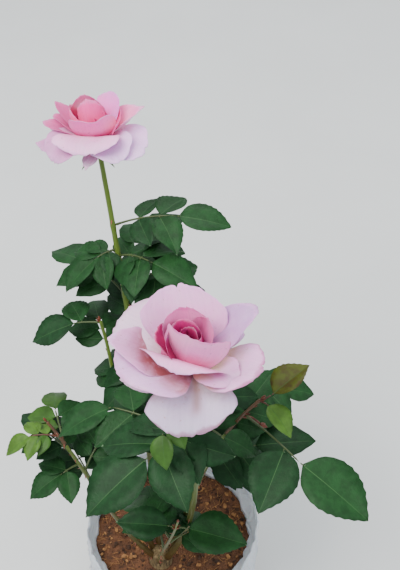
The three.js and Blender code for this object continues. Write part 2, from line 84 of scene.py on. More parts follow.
def bearing(compass):
    """The level direction of a compass bearing."""
    turn = math.radians(compass)
    return Vector((math.sin(turn), -math.cos(turn), 0))


# Sizes and colours a user would change

class RoseSizes(bpy.types.PropertyGroup):
    """Sizes of thin pieces"""
    film: bpy.props.FloatProperty(
        name="Film", description="Thickness of the bag's film", default=0.9 * MM,
        unit="LENGTH", subtype="DISTANCE")
    leaf_width: bpy.props.FloatProperty(
        name="Leaflet width", description="Width of a leaflet as a share of its length",
        default=0.68, min=0.3, max=1.0, subtype="FACTOR")
    leaf_thickness: bpy.props.FloatProperty(
        name="Leaf thickness", description="Thickness of a leaflet", default=0.35 * MM,
        unit="LENGTH", subtype="DISTANCE")
    petal_thickness: bpy.props.FloatProperty(
        name="Petal thickness", description="Thickness of a petal", default=0.5 * MM,
        unit="LENGTH", subtype="DISTANCE")
    thorn: bpy.props.FloatProperty(
        name="Thorn", description="Length of a thorn", default=5.5 * MM,
        unit="LENGTH", subtype="DISTANCE")


def colour_property(name, description, code):
    """A colour that a user may change, from its sRGB hex value."""
    return bpy.props.FloatVectorProperty(
        name=name, description=description, default=srgb(code), min=0, max=1, subtype="COLOR")


class RoseColours(bpy.types.PropertyGroup):
    """Colours of the plant and its bag"""
    leaf: colour_property("Leaf", "Grown leaves", "#193d1b")
    leaf_deep: colour_property("Shaded leaf", "The oldest leaves", "#153519")
    leaf_young: colour_property("Young leaf", "Leaves near the tips", "#446620")
    leaf_red: colour_property("New leaf", "The newest, reddish leaves", "#423210")
    leaf_under: colour_property("Underside", "Underside of the leaves", "#4f6b4a")
    blush: bpy.props.FloatProperty(
        name="Blush", description="How far the petals' pink is deepened", default=1.0, min=0,
        max=1.5, subtype="FACTOR")
    cane: colour_property("Cane", "Green of the canes", "#50651c")
    film: colour_property("Film", "White film of the bag", "#d6d8de")
    coir: colour_property("Coir", "Brown coir", "#6b442a")


# Materials

class Nodes:
    """A material's node tree. `add` makes any node: `links` and `values` go to its sockets, `stops`
    to its colour ramp and the rest are its settings."""

    def __init__(self, name):
        self.material = bpy.data.materials.new(name)
        self.material.use_nodes = True
        self.tree = self.material.node_tree
        self.tree.nodes.clear()

    def add(self, kind, links=None, values=None, stops=(), **settings):
        node = self.tree.nodes.new(kind)
        for key, value in settings.items():
            setattr(node, key, value)
        for index, (place, colour) in enumerate(stops):
            node.color_ramp.interpolation = "EASE"
            elements = node.color_ramp.elements
            element = elements[index] if index < 2 else elements.new(1.0)
            element.position = place
            element.color = (*colour, 1)
        for key, value in (values or {}).items():
            node.inputs[key].default_value = value
        for key, source in (links or {}).items():
            self.tree.links.new(source, node.inputs[key])
        return node

    def finish(self, colour, height, height_mm, values):
        """Ends the material with its shader, whose surface rises and falls by `height_mm`."""
        bump = self.add("ShaderNodeBump", {"Height": height},
                        {"Strength": 1.0, "Distance": height_mm * MM})
        shader = self.add("ShaderNodeBsdfPrincipled",
                          {"Base Color": colour, "Normal": bump.outputs["Normal"]}, values)
        self.add("ShaderNodeOutputMaterial", {"Surface": shader.outputs["BSDF"]})
        return self.material


def patches_of(size_mm):
    """The scale of a pattern whose patches are this large."""
    return 1 / (size_mm * MM)


def shade(colour, factor):
    """A colour made darker or lighter."""
    return tuple(clamp(c * factor) for c in colour)


def blend(a, b, share):
    """The colour a share of the way from `a` to `b`."""
    return tuple(mix(x, y, share) for x, y in zip(a, b))


def mottled(name, colour, size_mm, spread, values, height_mm=0.05, other=None):
    """A plain material whose colour drifts a little over patches of a real size."""
    nodes = Nodes(name)
    place = nodes.add("ShaderNodeTexCoord").outputs["Object"]
    cloud = nodes.add("ShaderNodeTexNoise", {"Vector": place},
                      {"Scale": patches_of(size_mm), "Detail": 3.0, "Roughness": 0.6})
    stops = [(0.3, shade(colour, 1 - spread)), (0.7, other or shade(colour, 1 + spread))]
    tint = nodes.add("ShaderNodeValToRGB", {"Fac": cloud.outputs["Fac"]}, stops=stops)
    fine = nodes.add("ShaderNodeTexNoise", {"Vector": place},
                     {"Scale": patches_of(size_mm / 4), "Detail": 2.0, "Roughness": 0.6})
    return nodes.finish(tint.outputs["Color"], fine.outputs["Fac"], height_mm, values)


# The growth rule, the same as in the solid model

GAP = 0.3            # between two solids that meet
SOIL = 125           # level of the coir at the stump
STUMP = Vector((-12, -35, SOIL))
STUMP_TOP = Vector((-10, -34, SOIL + 24))
STUMP_FLARE = 15     # radius at its foot
STUMP_RADIUS = 11    # radius at its top
HIP = 9              # from a bloom's centre down to its stem

# tilt and roll: degrees turned about the X and the Y axis
BLOOMS = {
    "front": {"centre": Vector((27, -92, 553)), "tilt": 8, "roll": 0},
    "rear": {"centre": Vector((-62, 147, 582)), "tilt": -4, "roll": -5},
}

# foot: bearing, distance out and height on the stump; lean: bearing, degrees off plumb and share
# of the length; arrive: bearing and degrees off plumb at the tip; reach: share of the length that
# bends toward it; bough: the share that is bare; radii: at the foot and at the tip
CANES = {
    "front": {"foot": (42, 8.5, 16), "bloom": "front", "lean": (72, 22, 0.32), "reach": 0.34,
              "bough": 0.52, "radii": (3.4, 2.3)},
    "rear": {"foot": (196, 8.5, 16), "bloom": "rear", "lean": (190, 12, 0.34), "reach": 0.30,
             "bough": 0.44, "radii": (3.4, 2.4)},
    "left": {"foot": (-66, 8.5, 12), "tip": Vector((-112, -32, 392)), "lean": (-86, 30, 0.34),
             "arrive": (-95, 24), "reach": 0.30, "bough": 0.42, "radii": (3.0, 1.4)},
    "right": {"foot": (94, 8.5, 12), "tip": Vector((86, -64, 470)), "lean": (80, 14, 0.34),
              "arrive": (92, 36), "reach": 0.30, "bough": 0.46, "radii": (3.1, 1.2)},
    "back_right": {"foot": (145, 8.5, 12), "tip": Vector((88, 62, 316)), "lean": (140, 30, 0.34),
                   "arrive": (128, 34), "reach": 0.30, "bough": 0.42, "radii": (2.8, 1.5)},
    "back_left": {"foot": (-116, 8.5, 12), "tip": Vector((-66, 66, 425)), "lean": (-116, 22, 0.34),
                  "arrive": (-115, 12), "reach": 0.30, "bough": 0.42, "radii": (3.0, 1.6)},
    "low": {"foot": (-12, 9, 10), "tip": Vector((12, -98, 322)), "lean": (-10, 28, 0.34),
            "arrive": (20, 14), "reach": 0.30, "bough": 0.40, "radii": (2.0, 1.1)},
}

# number of leaves, the shares of the stem between which they grow, the first bearing and the arc
# they turn through, length of the lowest and the highest leaflets, seed
FOLIAGE = {
    "front": (4, 0.04, 0.46, 80, 200, (60, 52), 1),
    "rear": (7, 0.02, 0.58, -10, 250, (60, 46), 2),
    "left": (4, 0.20, 0.86, -220, 130, (48, 36), 3),
    "right": (4, 0.06, 0.70, 100, 110, (50, 42), 4),
    "back_right": (7, 0.04, 0.94, 70, 150, (54, 40), 5),
    "back_left": (5, 0.04, 0.84, -246, 84, (54, 42), 6),
    "low": (3, 0.06, 0.60, 110, 140, (46, 38), 7),
}

# leaves placed one by one: share of the stem, bearing, rise, droop, reach, leaflet length,
# leaflets, roll, veer, the side that has lost its leaflets, and age, from 0, old and dark, to 1,
# new and reddish
SEEN = {
    "front": [
        (0.61, -43, 11, 23, 55, 70, 5, 4, -10, 0, 0.1),
        (0.84, -37, -11, 20, 43, 29, 3, 0, 31, 1, 0.6),
        (0.67, -17, -3, 28, 28, 44, 1, 0, 85, 0, 0.25),
        (0.58, 61, -1, 21, 28, 36, 1, 0, 18, 0, 0.3),
        (0.39, -109, 27, 33, 82, 54, 5, 0, 39, 0, 0.4),
    ],
    "rear": [
        (0.66, 86, 30, 30, 66, 54, 5, 0, 0, 0, 0.3),
        (0.50, 58, 20, 36, 60, 60, 5, 0, 0, 0, 0.3),
        (0.56, -56, 18, 36, 24, 44, 5, 0, 0, 0, 0.3),
    ],
    "right": [
        (0.84, 40, 14, 19, 70, 72, 3, -4, 11, -1, 0.15),
        (0.91, 101, 45, 16, 22, 42, 1, 0, 21, 0, 1.0),
        (0.98, 54, 19, 24, 8, 34, 1, 0, -12, 0, 0.8),
    ],
    "left": [
        (0.82, -84, 34, 47, 28, 30, 5, 0, 18, 0, 0.72),
        (0.51, -50, 25, 34, 20, 40, 3, 0, -11, 0, 0.4),
    ],
    "back_left": [
        (0.98, -93, 3, 16, 25, 51, 3, 0, 11, -1, 0.3),
    ],
    "low": [
        (0.83, 72, 30, 17, 11, 60, 1, 0, 0, 0, 0.3),
        (0.80, -96, 40, 14, 6, 52, 1, 0, 10, 0, 0.2),
    ],
}

GOLDEN = 0.618034

# share of a cane above which its skin is new and reddish brown
RIPE = {"left": 0.84, "right": 0.80}


def heading(compass, off_plumb):
    """The direction that leans from plumb toward a bearing."""
    off = math.radians(off_plumb)
    return bearing(compass) * math.sin(off) + Vector((0, 0, math.cos(off)))


def bloom_turn(bloom):
    """How a bloom is turned from upright."""
    return (Matrix.Rotation(math.radians(bloom["roll"]), 3, "Y")
            @ Matrix.Rotation(math.radians(bloom["tilt"]), 3, "X"))


class Limb:
    """A cane's curve from the stump to its bloom or tip."""

    def __init__(self, name):
        cane = CANES[name]
        self.radii = cane["radii"]
        self.bough = cane["bough"]
        foot, lean = cane["foot"], cane["lean"]
        start = STUMP_TOP + bearing(foot[0]) * foot[1]
        start.z = SOIL + foot[2]
        if "bloom" in cane:
            bloom = BLOOMS[cane["bloom"]]
            way = bloom_turn(bloom) @ Vector((0, 0, 1))
            tip = bloom["centre"] - way * (HIP + GAP)
        else:
            way = heading(*cane["arrive"])
            tip = cane["tip"]
        length = (tip - start).length
        self.points = (start, start + heading(lean[0], lean[1]) * length * lean[2],
                       tip - way * length * cane["reach"], tip)

    def at(self, share):
        """The place at a share of its length."""
        a, b, c, d = self.points
        rest = 1 - share
        return (a * rest ** 3 + b * 3 * rest ** 2 * share + c * 3 * rest * share ** 2
                + d * share ** 3)

    def along(self, share):
        """Its direction there."""
        a, b, c, d = self.points
        rest = 1 - share
        way = (b - a) * rest ** 2 + (c - b) * 2 * rest * share + (d - c) * share ** 2
        return way.normalized()

    def radius(self, share):
        """Its radius there, without joints."""
        return mix(self.radii[0], self.radii[1], share)


LIMBS = {name: Limb(name) for name in CANES}


class Leaf:
    """One compound leaf: a stalk that bends down evenly, and its leaflets."""

    def __init__(self, limb, at, compass, rise, droop, reach, length, count, roll, veer, lost, age,
                 key, shows=False):
        self.at, self.compass, self.rise, self.droop = at, compass, rise, droop
        self.reach, self.length, self.count = reach, length, count
        self.roll, self.veer, self.lost, self.age, self.key = roll, veer, lost, age, key
        self.shows = shows
        self.start = limb.at(mix(limb.bough, 1, at))

    def point(self, reach):
        """The place at a reach along the stalk."""
        place = self.start.copy()
        flat = bearing(self.compass)
        for i in range(8):
            rise = math.radians(self.rise - self.droop * reach / self.reach * (i + 0.5) / 8)
            place += flat * math.cos(rise) * reach / 8
            place.z += math.sin(rise) * reach / 8
        return place

    def axes(self, reach, extra=0):
        """The stalk's direction, side and face at a reach along it."""
        rise = math.radians(self.rise - self.droop * reach / self.reach - extra)
        along = bearing(self.compass) * math.cos(rise) + Vector((0, 0, math.sin(rise)))
        side = along.cross(Vector((0, 0, 1))).normalized()
        roll = Matrix.Rotation(math.radians(self.roll), 3, along)
        return along, roll @ side, roll @ side.cross(along)

    def leaflets(self):
        """The place, direction, face and length of each leaflet, and its own number."""
        along, side, face = self.axes(self.reach, 4)
        along = Matrix.Rotation(math.radians(self.veer), 3, face) @ along
        found = [(self.point(self.reach), along, face, self.length, 0)]
        for pair in range((self.count - 1) // 2):
            reach = self.reach * (0.74 - 0.32 * pair)
            along, side, face = self.axes(reach)
            for hand in (-1, 1):
                if hand == self.lost:
                    continue
                spread = math.radians(62 + 6 * pair)
                way = (along * math.cos(spread) + side * hand * math.sin(spread)
                       - face * 0.12).normalized()
                up = (face - way * face.dot(way)).normalized()
                number = 1 + 2 * pair + (hand > 0)
                length = self.length * (0.84 - 0.14 * pair)
                found.append((self.point(reach), way, up, length, number))
        return found


def leaves_of(name):
    """A cane's leaves: those placed one by one, and then those that the rule grows."""
    limb = LIMBS[name]
    leaves, start, until, first, arc, long, seed = FOLIAGE[name]
    found = []
    for row in SEEN.get(name, []):
        found.append(Leaf(limb, *row, key=seed * 100 + len(found), shows=True))
    for i in range(leaves):
        at = mix(start, until, (i + 0.35) / leaves)
        length = mix(long[0], long[1], at)
        age = clamp(at * 0.4 + 0.4 * (chance(seed, i + 120) - 0.3))
        turn = first + arc * ((0.5 + GOLDEN * i) % 1)
        found.append(Leaf(
            limb, at, turn + 24 * (chance(seed, i) - 0.5),
            mix(24, 48, chance(seed, i + 20)), mix(30, 54, chance(seed, i + 40)),
            length * mix(0.8, 1.0, chance(seed, i + 60)), length, 5,
            24 * (chance(seed, i + 80) - 0.5), 20 * (chance(seed, i + 100) - 0.5), 0, age,
            seed * 100 + 40 + i))
    return found


# Mesh helpers

def add_piece(name, bm, materials, nodes, smooth_faces=True):
    """Makes a finished piece of a mesh that is in millimetres, and gives it to the frame."""
    bm.transform(MM_SCALE)
    mesh = bpy.data.meshes.new(name)
    if smooth_faces:
        for face in bm.faces:
            face.smooth = True
    bm.to_mesh(mesh)
    bm.free()
    piece = bpy.data.objects.new(name, mesh)
    bpy.context.scene.collection.objects.link(piece)
    for material in materials:
        mesh.materials.append(material)
    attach(piece, "root")
    if nodes:
        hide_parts(*nodes)
    return piece


def warp(verts, place):
    """Moves each vertex to where `place` puts it."""
    for vert in verts:
        vert.co = place(vert.co)


def faces_of(verts):
    return list({face for vert in verts for face in vert.link_faces})


def tube(bm, at, along, radius, sides, steps, material=0):
    """A tube along a curve: a grid rolled up, with its seam and its closed ends merged."""
    made = bmesh.ops.create_grid(bm, x_segments=sides, y_segments=steps, size=1)["verts"]
    faces = faces_of(made)

    def place(co):
        share = (co.y + 1) / 2
        angle = math.pi * (co.x + 1)
        way = along(share)
        across = Vector((0, 1, 0)) if abs(way.x) > 0.85 else Vector((1, 0, 0))
        across = (across - way * across.dot(way)).normalized()
        up = way.cross(across)
        size = radius(share, angle)
        return at(share) + across * math.cos(angle) * size + up * math.sin(angle) * size

    warp(made, place)
    for face in faces:
        face.material_index = material
    bmesh.ops.remove_doubles(bm, verts=made, dist=0.004)


def closed_ends(share, edge):
    """0 at a tube's two ends and 1 between them, so that its ends close to a point."""
    return math.sqrt(clamp(min(share, 1 - share) / edge))


# Stage

EYE = (0.033, -0.5567, 1.129)   # the camera's place in metres
PITCH = 46.4                    # degrees it looks down
AIM = (0, 0, 0.4)               # where the lamps point

# place, width, power and colour
LAMPS = {
    "key_light": ((-0.7, -0.5, 2.2), 1.4, 60, (1.0, 0.98, 0.95)),
    "fill_light": ((1.3, -0.9, 1.5), 1.6, 14, (0.93, 0.96, 1.0)),
    "back_light": ((0.2, 1.6, 1.9), 1.5, 22, (1.0, 1.0, 1.0)),
}


class ROSE_OT_stage(bpy.types.Operator):
    """Lays the pale floor, hangs the lights and sets the camera"""
    bl_idname = "rose.stage"
    bl_label = "Stage"

    def execute(self, context):
        scene = context.scene
        bm = bmesh.new()
        bmesh.ops.create_grid(bm, x_segments=1, y_segments=1, size=6)
        mesh = bpy.data.meshes.new("floor")
        bm.to_mesh(mesh)
        bm.free()
        floor = bpy.data.objects.new("floor", mesh)
        scene.collection.objects.link(floor)
        # matt paper, which takes soft shadows and has no shine
        mesh.materials.append(mottled("matt_paper_backdrop", srgb("#d3d4d2"), 300, 0.02,
                                      {"Roughness": 0.9}))

        world = bpy.data.worlds.new("soft_daylight")
        scene.world = world
        world.use_nodes = True
        sky = world.node_tree.nodes["Background"]
        sky.inputs["Color"].default_value = (0.86, 0.93, 1.0, 1)
        sky.inputs["Strength"].default_value = 1.0

        for name, (place, size, power, colour) in LAMPS.items():
            light = bpy.data.lights.new(name, "AREA")
            light.shape = "DISK"
            light.size = size
            light.energy = power
            light.color = colour
            lamp = bpy.data.objects.new(name, light)
            lamp.location = place
            way = Vector(AIM) - lamp.location
            lamp.rotation_euler = way.to_track_quat("-Z", "Y").to_euler()
            scene.collection.objects.link(lamp)

        camera = bpy.data.cameras.new("camera")
        camera.lens = 60
        camera.sensor_width = 36
        camera.clip_start = 0.01
        eye = bpy.data.objects.new("camera", camera)
        eye.location = EYE
        eye.rotation_euler = (math.radians(90 - PITCH), 0, 0)
        scene.collection.objects.link(eye)
        scene.camera = eye
        return {"FINISHED"}


# Grow bag and coir

BAG_BASE = 86        # radius at the base
BAG_BELLY = 101      # radius half way up
BAG_RIM = 99         # radius at the rim
BAG_HEIGHT = 152     # mean height of the rim
RIM_RISE = 12        # the rim is this much higher at the back
COIR_INSET = 2.7     # from the bag's outside in to the coir
COIR_WALLS = (3.5, 18, 46, 80, 112, 120)   # heights of the rows up its side
COIR_TOP = 200       # marks a vertex of its top, whose level is worked out later
COIR_RINGS = 26
CRUMB_REACH = 86     # crumbs lie within this radius
CRUMBS = 900


def bag_radius(height, angle):
    """The bag's radius, which bellies out and has a few broad folds."""
    share = height / BAG_HEIGHT
    if share < 0.5:
        radius = mix(BAG_BASE, BAG_BELLY, math.sin(share * math.pi))
    else:
        radius = mix(BAG_BELLY, BAG_RIM, (share - 0.5) * 2)
    fold = 1.6 * math.sin(3 * angle + 0.6) + 0.9 * math.sin(7 * angle + 2 * share)
    return radius + fold * smooth(share, 0.05, 0.6)


def rim_height(angle):
    """The wavy rim's height."""
    waves = 3 * math.sin(2 * angle + 0.4) + 2 * math.sin(5 * angle + 1.7)
    return BAG_HEIGHT + RIM_RISE * math.sin(angle) + waves


def wrinkle(angle, height):
    """Soft creases that run up the film from the base and gather under the rim."""
    x, y = math.cos(angle), math.sin(angle)
    broad = noise.fractal(Vector((x * 2.2, y * 2.2, height / 70)), 0.9, 2.1, 3)
    turn = angle + height / 260
    slant = noise.noise(Vector((math.cos(turn) * 4.2, math.sin(turn) * 4.2, height / 150)))
    cross = noise.noise(Vector((x * 2.8 + 9, y * 2.8, height / 30 + x * 2)))
    folds = noise.noise(Vector((x * 8, y * 8, height / 220)))
    return (1.8 * broad + 4.0 * clamp(1 - abs(slant) * 5) ** 2
            - 3.0 * clamp(1 - abs(cross) * 6) ** 2 * smooth(height, 20, 60)
            + 2.4 * folds * smooth(height, 40, 130))


def film_material(colours):
    """White polythene film, blown: milky and half matt, with faint 70 mm clouds, creases from
    handling and soil splashed up from the ground."""
    nodes = Nodes("white_polythene_film")
    place = nodes.add("ShaderNodeTexCoord").outputs["Object"]
    cloud = nodes.add("ShaderNodeTexNoise", {"Vector": place},
                      {"Scale": patches_of(70), "Detail": 4.0, "Roughness": 0.6})
    clean = nodes.add("ShaderNodeValToRGB", {"Fac": cloud.outputs["Fac"]},
                      stops=[(0.35, shade(colours.film, 0.86)), (0.65, colours.film)])
    height = nodes.add("ShaderNodeSeparateXYZ", {"Vector": place}).outputs["Z"]
    splash = nodes.add("ShaderNodeTexNoise", {"Vector": place},
                       {"Scale": patches_of(26), "Detail": 5.0, "Roughness": 0.7})
    near = nodes.add("ShaderNodeMapRange", {"Value": height},
                     {"From Min": 0.0, "From Max": 0.09, "To Min": 0.5, "To Max": 0.0})
    spots = nodes.add("ShaderNodeMath", {0: splash.outputs["Fac"], 1: near.outputs["Result"]},
                      operation="ADD")
    dirt = nodes.add("ShaderNodeMapRange", {"Value": spots.outputs["Value"]},
                     {"From Min": 0.66, "From Max": 1.0, "To Min": 0.0, "To Max": 0.8},
                     interpolation_type="SMOOTHSTEP")
    soil = nodes.add("ShaderNodeMix",
                     {"Factor": dirt.outputs["Result"], "A": clean.outputs["Color"]},
                     {"B": (*srgb("#9c8b76"), 1)}, data_type="RGBA")
    creases = nodes.add("ShaderNodeTexNoise", {"Vector": place},
                        {"Scale": patches_of(30), "Detail": 4.0, "Roughness": 0.5,
                         "Distortion": 2.2})
    return nodes.finish(soil.outputs["Result"], creases.outputs["Fac"], 6.0,
                        {"Roughness": 0.52, "IOR": 1.5, "Subsurface Weight": 0.12,
                         "Subsurface Scale": 0.01})


class ROSE_OT_bag(bpy.types.Operator):
    """Makes the white film bag with its creases and its uneven rim"""
    bl_idname = "rose.bag"
    bl_label = "Grow bag"

    def execute(self, context):
        sizes, colours = context.scene.rose_sizes, context.scene.rose_colours
        bm = bmesh.new()
        # rows in hundredths of the rim's height; those above 100 turn in over the rim
        rows = [0, 1.2, 5, 12] + [mix(18, 100, i / 26) for i in range(27)]
        rows += [102, 106, 111, 116, 120]
        profile = [bm.verts.new((0, 0, 0)), bm.verts.new((BAG_BASE * 0.5, 0, 0))]
        profile += [bm.verts.new((1, 0, row)) for row in rows]
        edges = [bm.edges.new(pair) for pair in zip(profile, profile[1:])]
        bmesh.ops.spin(bm, geom=profile + edges, cent=(0, 0, 0), axis=(0, 0, 1),
                       angle=math.tau, steps=192, use_merge=True)
        bmesh.ops.remove_doubles(bm, verts=bm.verts, dist=1e-4)

        def place(co):
            radial = math.hypot(co.x, co.y)
            if radial < 0.5 or (co.z == 0 and radial > 2):
                return co   # the flat underside
            angle = math.atan2(co.y, co.x)
            if co.z > 100:
                return self.collar(angle, (co.z - 100) / 20)
            share = co.z / 100
            height = share * rim_height(angle)
            # rounded at the base, loose above it, and drawn in a little at the rim
            radius = bag_radius(height, angle) - 3.6 * (1 - share) ** 12
            loose = smooth(height, 4, 40) * (1 - 0.6 * smooth(share, 0.7, 1.0))
            radius += clamp(wrinkle(angle, height) - 0.6, -2.6, 3.4) * loose
            radius -= 1.6 * smooth(share, 0.9, 1.0)
            return Vector((math.cos(angle) * radius, math.sin(angle) * radius, height))

        warp(bm.verts, place)
        bmesh.ops.recalc_face_normals(bm, faces=bm.faces)
        piece = add_piece("bag_film", bm, [film_material(colours)], ["grow_bag"])
        wall = piece.modifiers.new("film", "SOLIDIFY")
        wall.thickness = sizes.film
        wall.offset = -1
        return {"FINISHED"}

    def collar(self, angle, inward):
        """The top of the film, which sags in from the rim and lies down on the coir."""
        top = rim_height(angle)
        slack = noise.noise(Vector((math.cos(angle) * 3, math.sin(angle) * 3, 2)))
        folds = noise.noise(Vector((math.cos(angle) * 8, math.sin(angle) * 8, 4 + inward)))
        radius = (bag_radius(top, angle) + 0.4 * wrinkle(angle, top) - 3.4
                  - (8.0 + 4.5 * slack) * smooth(inward) + 1.6 * folds * inward)
        x, y = radius * math.cos(angle), radius * math.sin(angle)
        return Vector((x, y, mix(top - 0.8, coir_level(x, y) + 0.3, inward ** 0.8)))


def coir_level(x, y):
    """The height of the coir's lumpy surface, level round the stump."""
    away = math.hypot(x - STUMP.x, y - STUMP.y)
    lumps = 2.4 * math.sin(x / 15) * math.cos(y / 13) + 1.6 * math.sin((x + y) / 9)
    return SOIL - GAP + (lumps - 1) * smooth(away, STUMP_FLARE + 4, 48)


def coir_material(colours):
    """Coconut coir, shredded husk: dull 3 mm crumbs, brown with pale and near black bits."""
    nodes = Nodes("coconut_coir")
    place = nodes.add("ShaderNodeTexCoord").outputs["Object"]
    crumbs = nodes.add("ShaderNodeTexVoronoi", {"Vector": place},
                       {"Scale": patches_of(3)})
    cloud = nodes.add("ShaderNodeTexNoise", {"Vector": place},
                      {"Scale": patches_of(11), "Detail": 5.0, "Roughness": 0.7})
    tint = nodes.add("ShaderNodeValToRGB", {"Fac": cloud.outputs["Fac"]}, stops=[
        (0.28, srgb("#22150c")), (0.46, shade(colours.coir, 0.7)), (0.60, colours.coir),
        (0.78, srgb("#9a6a40"))])
    height = nodes.add("ShaderNodeMath", {0: crumbs.outputs["Distance"], 1: cloud.outputs["Fac"]},
                       operation="ADD")
    return nodes.finish(tint.outputs["Color"], height.outputs["Value"], 2.2, {"Roughness": 0.95})


class ROSE_OT_coir(bpy.types.Operator):
    """Fills the bag with lumpy coir and strews crumbs and fibres on it"""
    bl_idname = "rose.coir"
    bl_label = "Coir"

    def execute(self, context):
        colours = context.scene.rose_colours
        bm = bmesh.new()
        profile = [bm.verts.new((0, 0, COIR_WALLS[0]))]
        profile += [bm.verts.new((1, 0, height)) for height in COIR_WALLS]
        profile += [bm.verts.new((i / COIR_RINGS, 0, COIR_TOP)) for i in range(COIR_RINGS, -1, -1)]
        edges = [bm.edges.new(pair) for pair in zip(profile, profile[1:])]
        bmesh.ops.spin(bm, geom=profile + edges, cent=(0, 0, 0), axis=(0, 0, 1),
                       angle=math.tau, steps=120, use_merge=True)
        bmesh.ops.remove_doubles(bm, verts=bm.verts, dist=1e-4)

        def place(co):
            share = math.hypot(co.x, co.y)
            angle = math.atan2(co.y, co.x)
            x, y = math.cos(angle) * share * BAG_BELLY, math.sin(angle) * share * BAG_BELLY
            top = co.z > COIR_WALLS[-1]
            height = coir_level(x, y) if top else co.z
            radius = bag_radius(height, angle) - COIR_INSET
            x, y = math.cos(angle) * share * radius, math.sin(angle) * share * radius
            if top:
                away = smooth(math.hypot(x - STUMP.x, y - STUMP.y), 10, 30)
                height += away * (1.3 * noise.noise(Vector((x, y, 0)) / 9)
                                  + 0.9 * noise.noise(Vector((x, y, 5)) / 3.5) - 0.6)
            return Vector((x, y, height))

        warp(bm.verts, place)
        bmesh.ops.recalc_face_normals(bm, faces=bm.faces)
        add_piece("coir_bed", bm, [coir_material(colours)], ["coir"])
        self.crumbs()
        return {"FINISHED"}

    def crumbs(self):
        """Loose crumbs and fibres on the coir, clear of the stump."""
        bits = bmesh.new()
        for i in range(CRUMBS):
            radius = CRUMB_REACH * math.sqrt(chance(11, i))
            angle = math.tau * chance(12, i)
            x, y = radius * math.cos(angle), radius * math.sin(angle)
            if math.hypot(x - STUMP.x, y - STUMP.y) < STUMP_FLARE + 3:
                continue
            size = mix(0.9, 2.6, chance(13, i) ** 2)
            fibre = chance(14, i) > 0.72
            made = bmesh.ops.create_icosphere(bits, subdivisions=0 if fibre else 1,
                                              radius=1)["verts"]
            stretch = (6.5, 0.32, 0.32) if fibre else (1.5 * size, size, 0.55 * size)
            turn = (Matrix.Rotation(math.tau * chance(15, i), 3, "Z")
                    @ Matrix.Rotation(0.7 * (chance(16, i) - 0.5), 3, "Y"))
            spot = Vector((x, y, coir_level(x, y) + (0.9 if fibre else 0.4 * size)))
            for vert in made:
                rough = 1 + 0.25 * noise.noise(vert.co * 2 + Vector((i, 0, 0)))
                vert.co = spot + turn @ Vector([c * s * rough for c, s in zip(vert.co, stretch)])
            pale = 1 if fibre or chance(17, i) > 0.62 else 0
            for face in faces_of(made):
                face.material_index = pale
        # dry husk, as dull as the bed
        add_piece("coir_crumbs", bits, [
            mottled("dark_husk_crumb", srgb("#3a2415"), 4, 0.4, {"Roughness": 0.95}),
            mottled("pale_husk_fibre", srgb("#8d6239"), 4, 0.3, {"Roughness": 0.9}),
        ], [], smooth_faces=False)


# Stump, canes and thorns

THORN_PLACES = 15   # places for a thorn along a cane


def bark_material():
    """Rose bark, corky and dull: grey brown, with 2.4 mm cracks drawn out along the stem."""
    nodes = Nodes("rose_bark")
    place = nodes.add("ShaderNodeTexCoord").outputs["Object"]
    stretch = nodes.add("ShaderNodeMapping", {"Vector": place}, {"Scale": (1, 1, 0.3)})
    cracks = nodes.add("ShaderNodeTexNoise", {"Vector": stretch.outputs["Vector"]},
                       {"Scale": patches_of(2.4), "Detail": 4.0, "Roughness": 0.65})
    tint = nodes.add("ShaderNodeValToRGB", {"Fac": cracks.outputs["Fac"]}, stops=[
        (0.3, srgb("#2f2415")), (0.5, srgb("#6a5738")), (0.72, srgb("#8f7b57"))])
    return nodes.finish(tint.outputs["Color"], cracks.outputs["Fac"], 0.9, {"Roughness": 0.9})


def cane_material(colours):
    """Rose cane, a waxy skin with a soft shine: brown near the ground and green above. Its
    streaks are drawn 1.4 mm wide, coarser than real ones, so that they show."""
    nodes = Nodes("rose_cane_skin")
    place = nodes.add("ShaderNodeTexCoord").outputs["Object"]
    height = nodes.add("ShaderNodeSeparateXYZ", {"Vector": place}).outputs["Z"]
    stretch = nodes.add("ShaderNodeMapping", {"Vector": place}, {"Scale": (1, 1, 0.12)})
    streak = nodes.add("ShaderNodeTexNoise", {"Vector": stretch.outputs["Vector"]},
                       {"Scale": patches_of(1.4), "Detail": 3.0, "Roughness": 0.6})
    wander = nodes.add("ShaderNodeMath", {0: streak.outputs["Fac"]}, {1: 0.06},
                       operation="MULTIPLY")
    level = nodes.add("ShaderNodeMath", {0: height, 1: wander.outputs["Value"]}, operation="ADD")
    tint = nodes.add("ShaderNodeValToRGB", {"Fac": level.outputs["Value"]}, stops=[
        (0.15, srgb("#4a3418")), (0.26, srgb("#4c4a20")), (0.42, colours.cane),
        (0.60, shade(colours.cane, 1.12))])
    return nodes.finish(tint.outputs["Color"], streak.outputs["Fac"], 0.12,
                        {"Roughness": 0.42, "IOR": 1.45})


def thorn(bm, place, out, down, size):
    """A hooked thorn: a cone flattened sideways that bends down toward its tip."""
    made = bmesh.ops.create_cone(bm, cap_ends=False, segments=7, radius1=1, radius2=0.02,
                                 depth=1)["verts"]
    side = out.cross(down).normalized()

    def shape(co):
        share = co.z + 0.5
        centre = place + out * (share * size - 0.6) + down * (size * 0.42 * share ** 2)
        return centre + side * co.x * size * 0.13 + down * co.y * size * 0.28

    warp(made, shape)


def bud(bm, place, along, length, radius):
    """A small closed bud: an egg drawn out to a tip, with its blunt end at `place`."""
    across = Vector((0.3, 0.9, 0.1)).cross(along).normalized()
    third = along.cross(across)
    made = bmesh.ops.create_uvsphere(bm, u_segments=8, v_segments=7, radius=1)["verts"]
    for vert in made:
        share = (vert.co.z + 1) / 2
        taper = 1 - 0.45 * share ** 2
        vert.co = (place + along * length * share
                   + (across * vert.co.x + third * vert.co.y) * radius * taper)


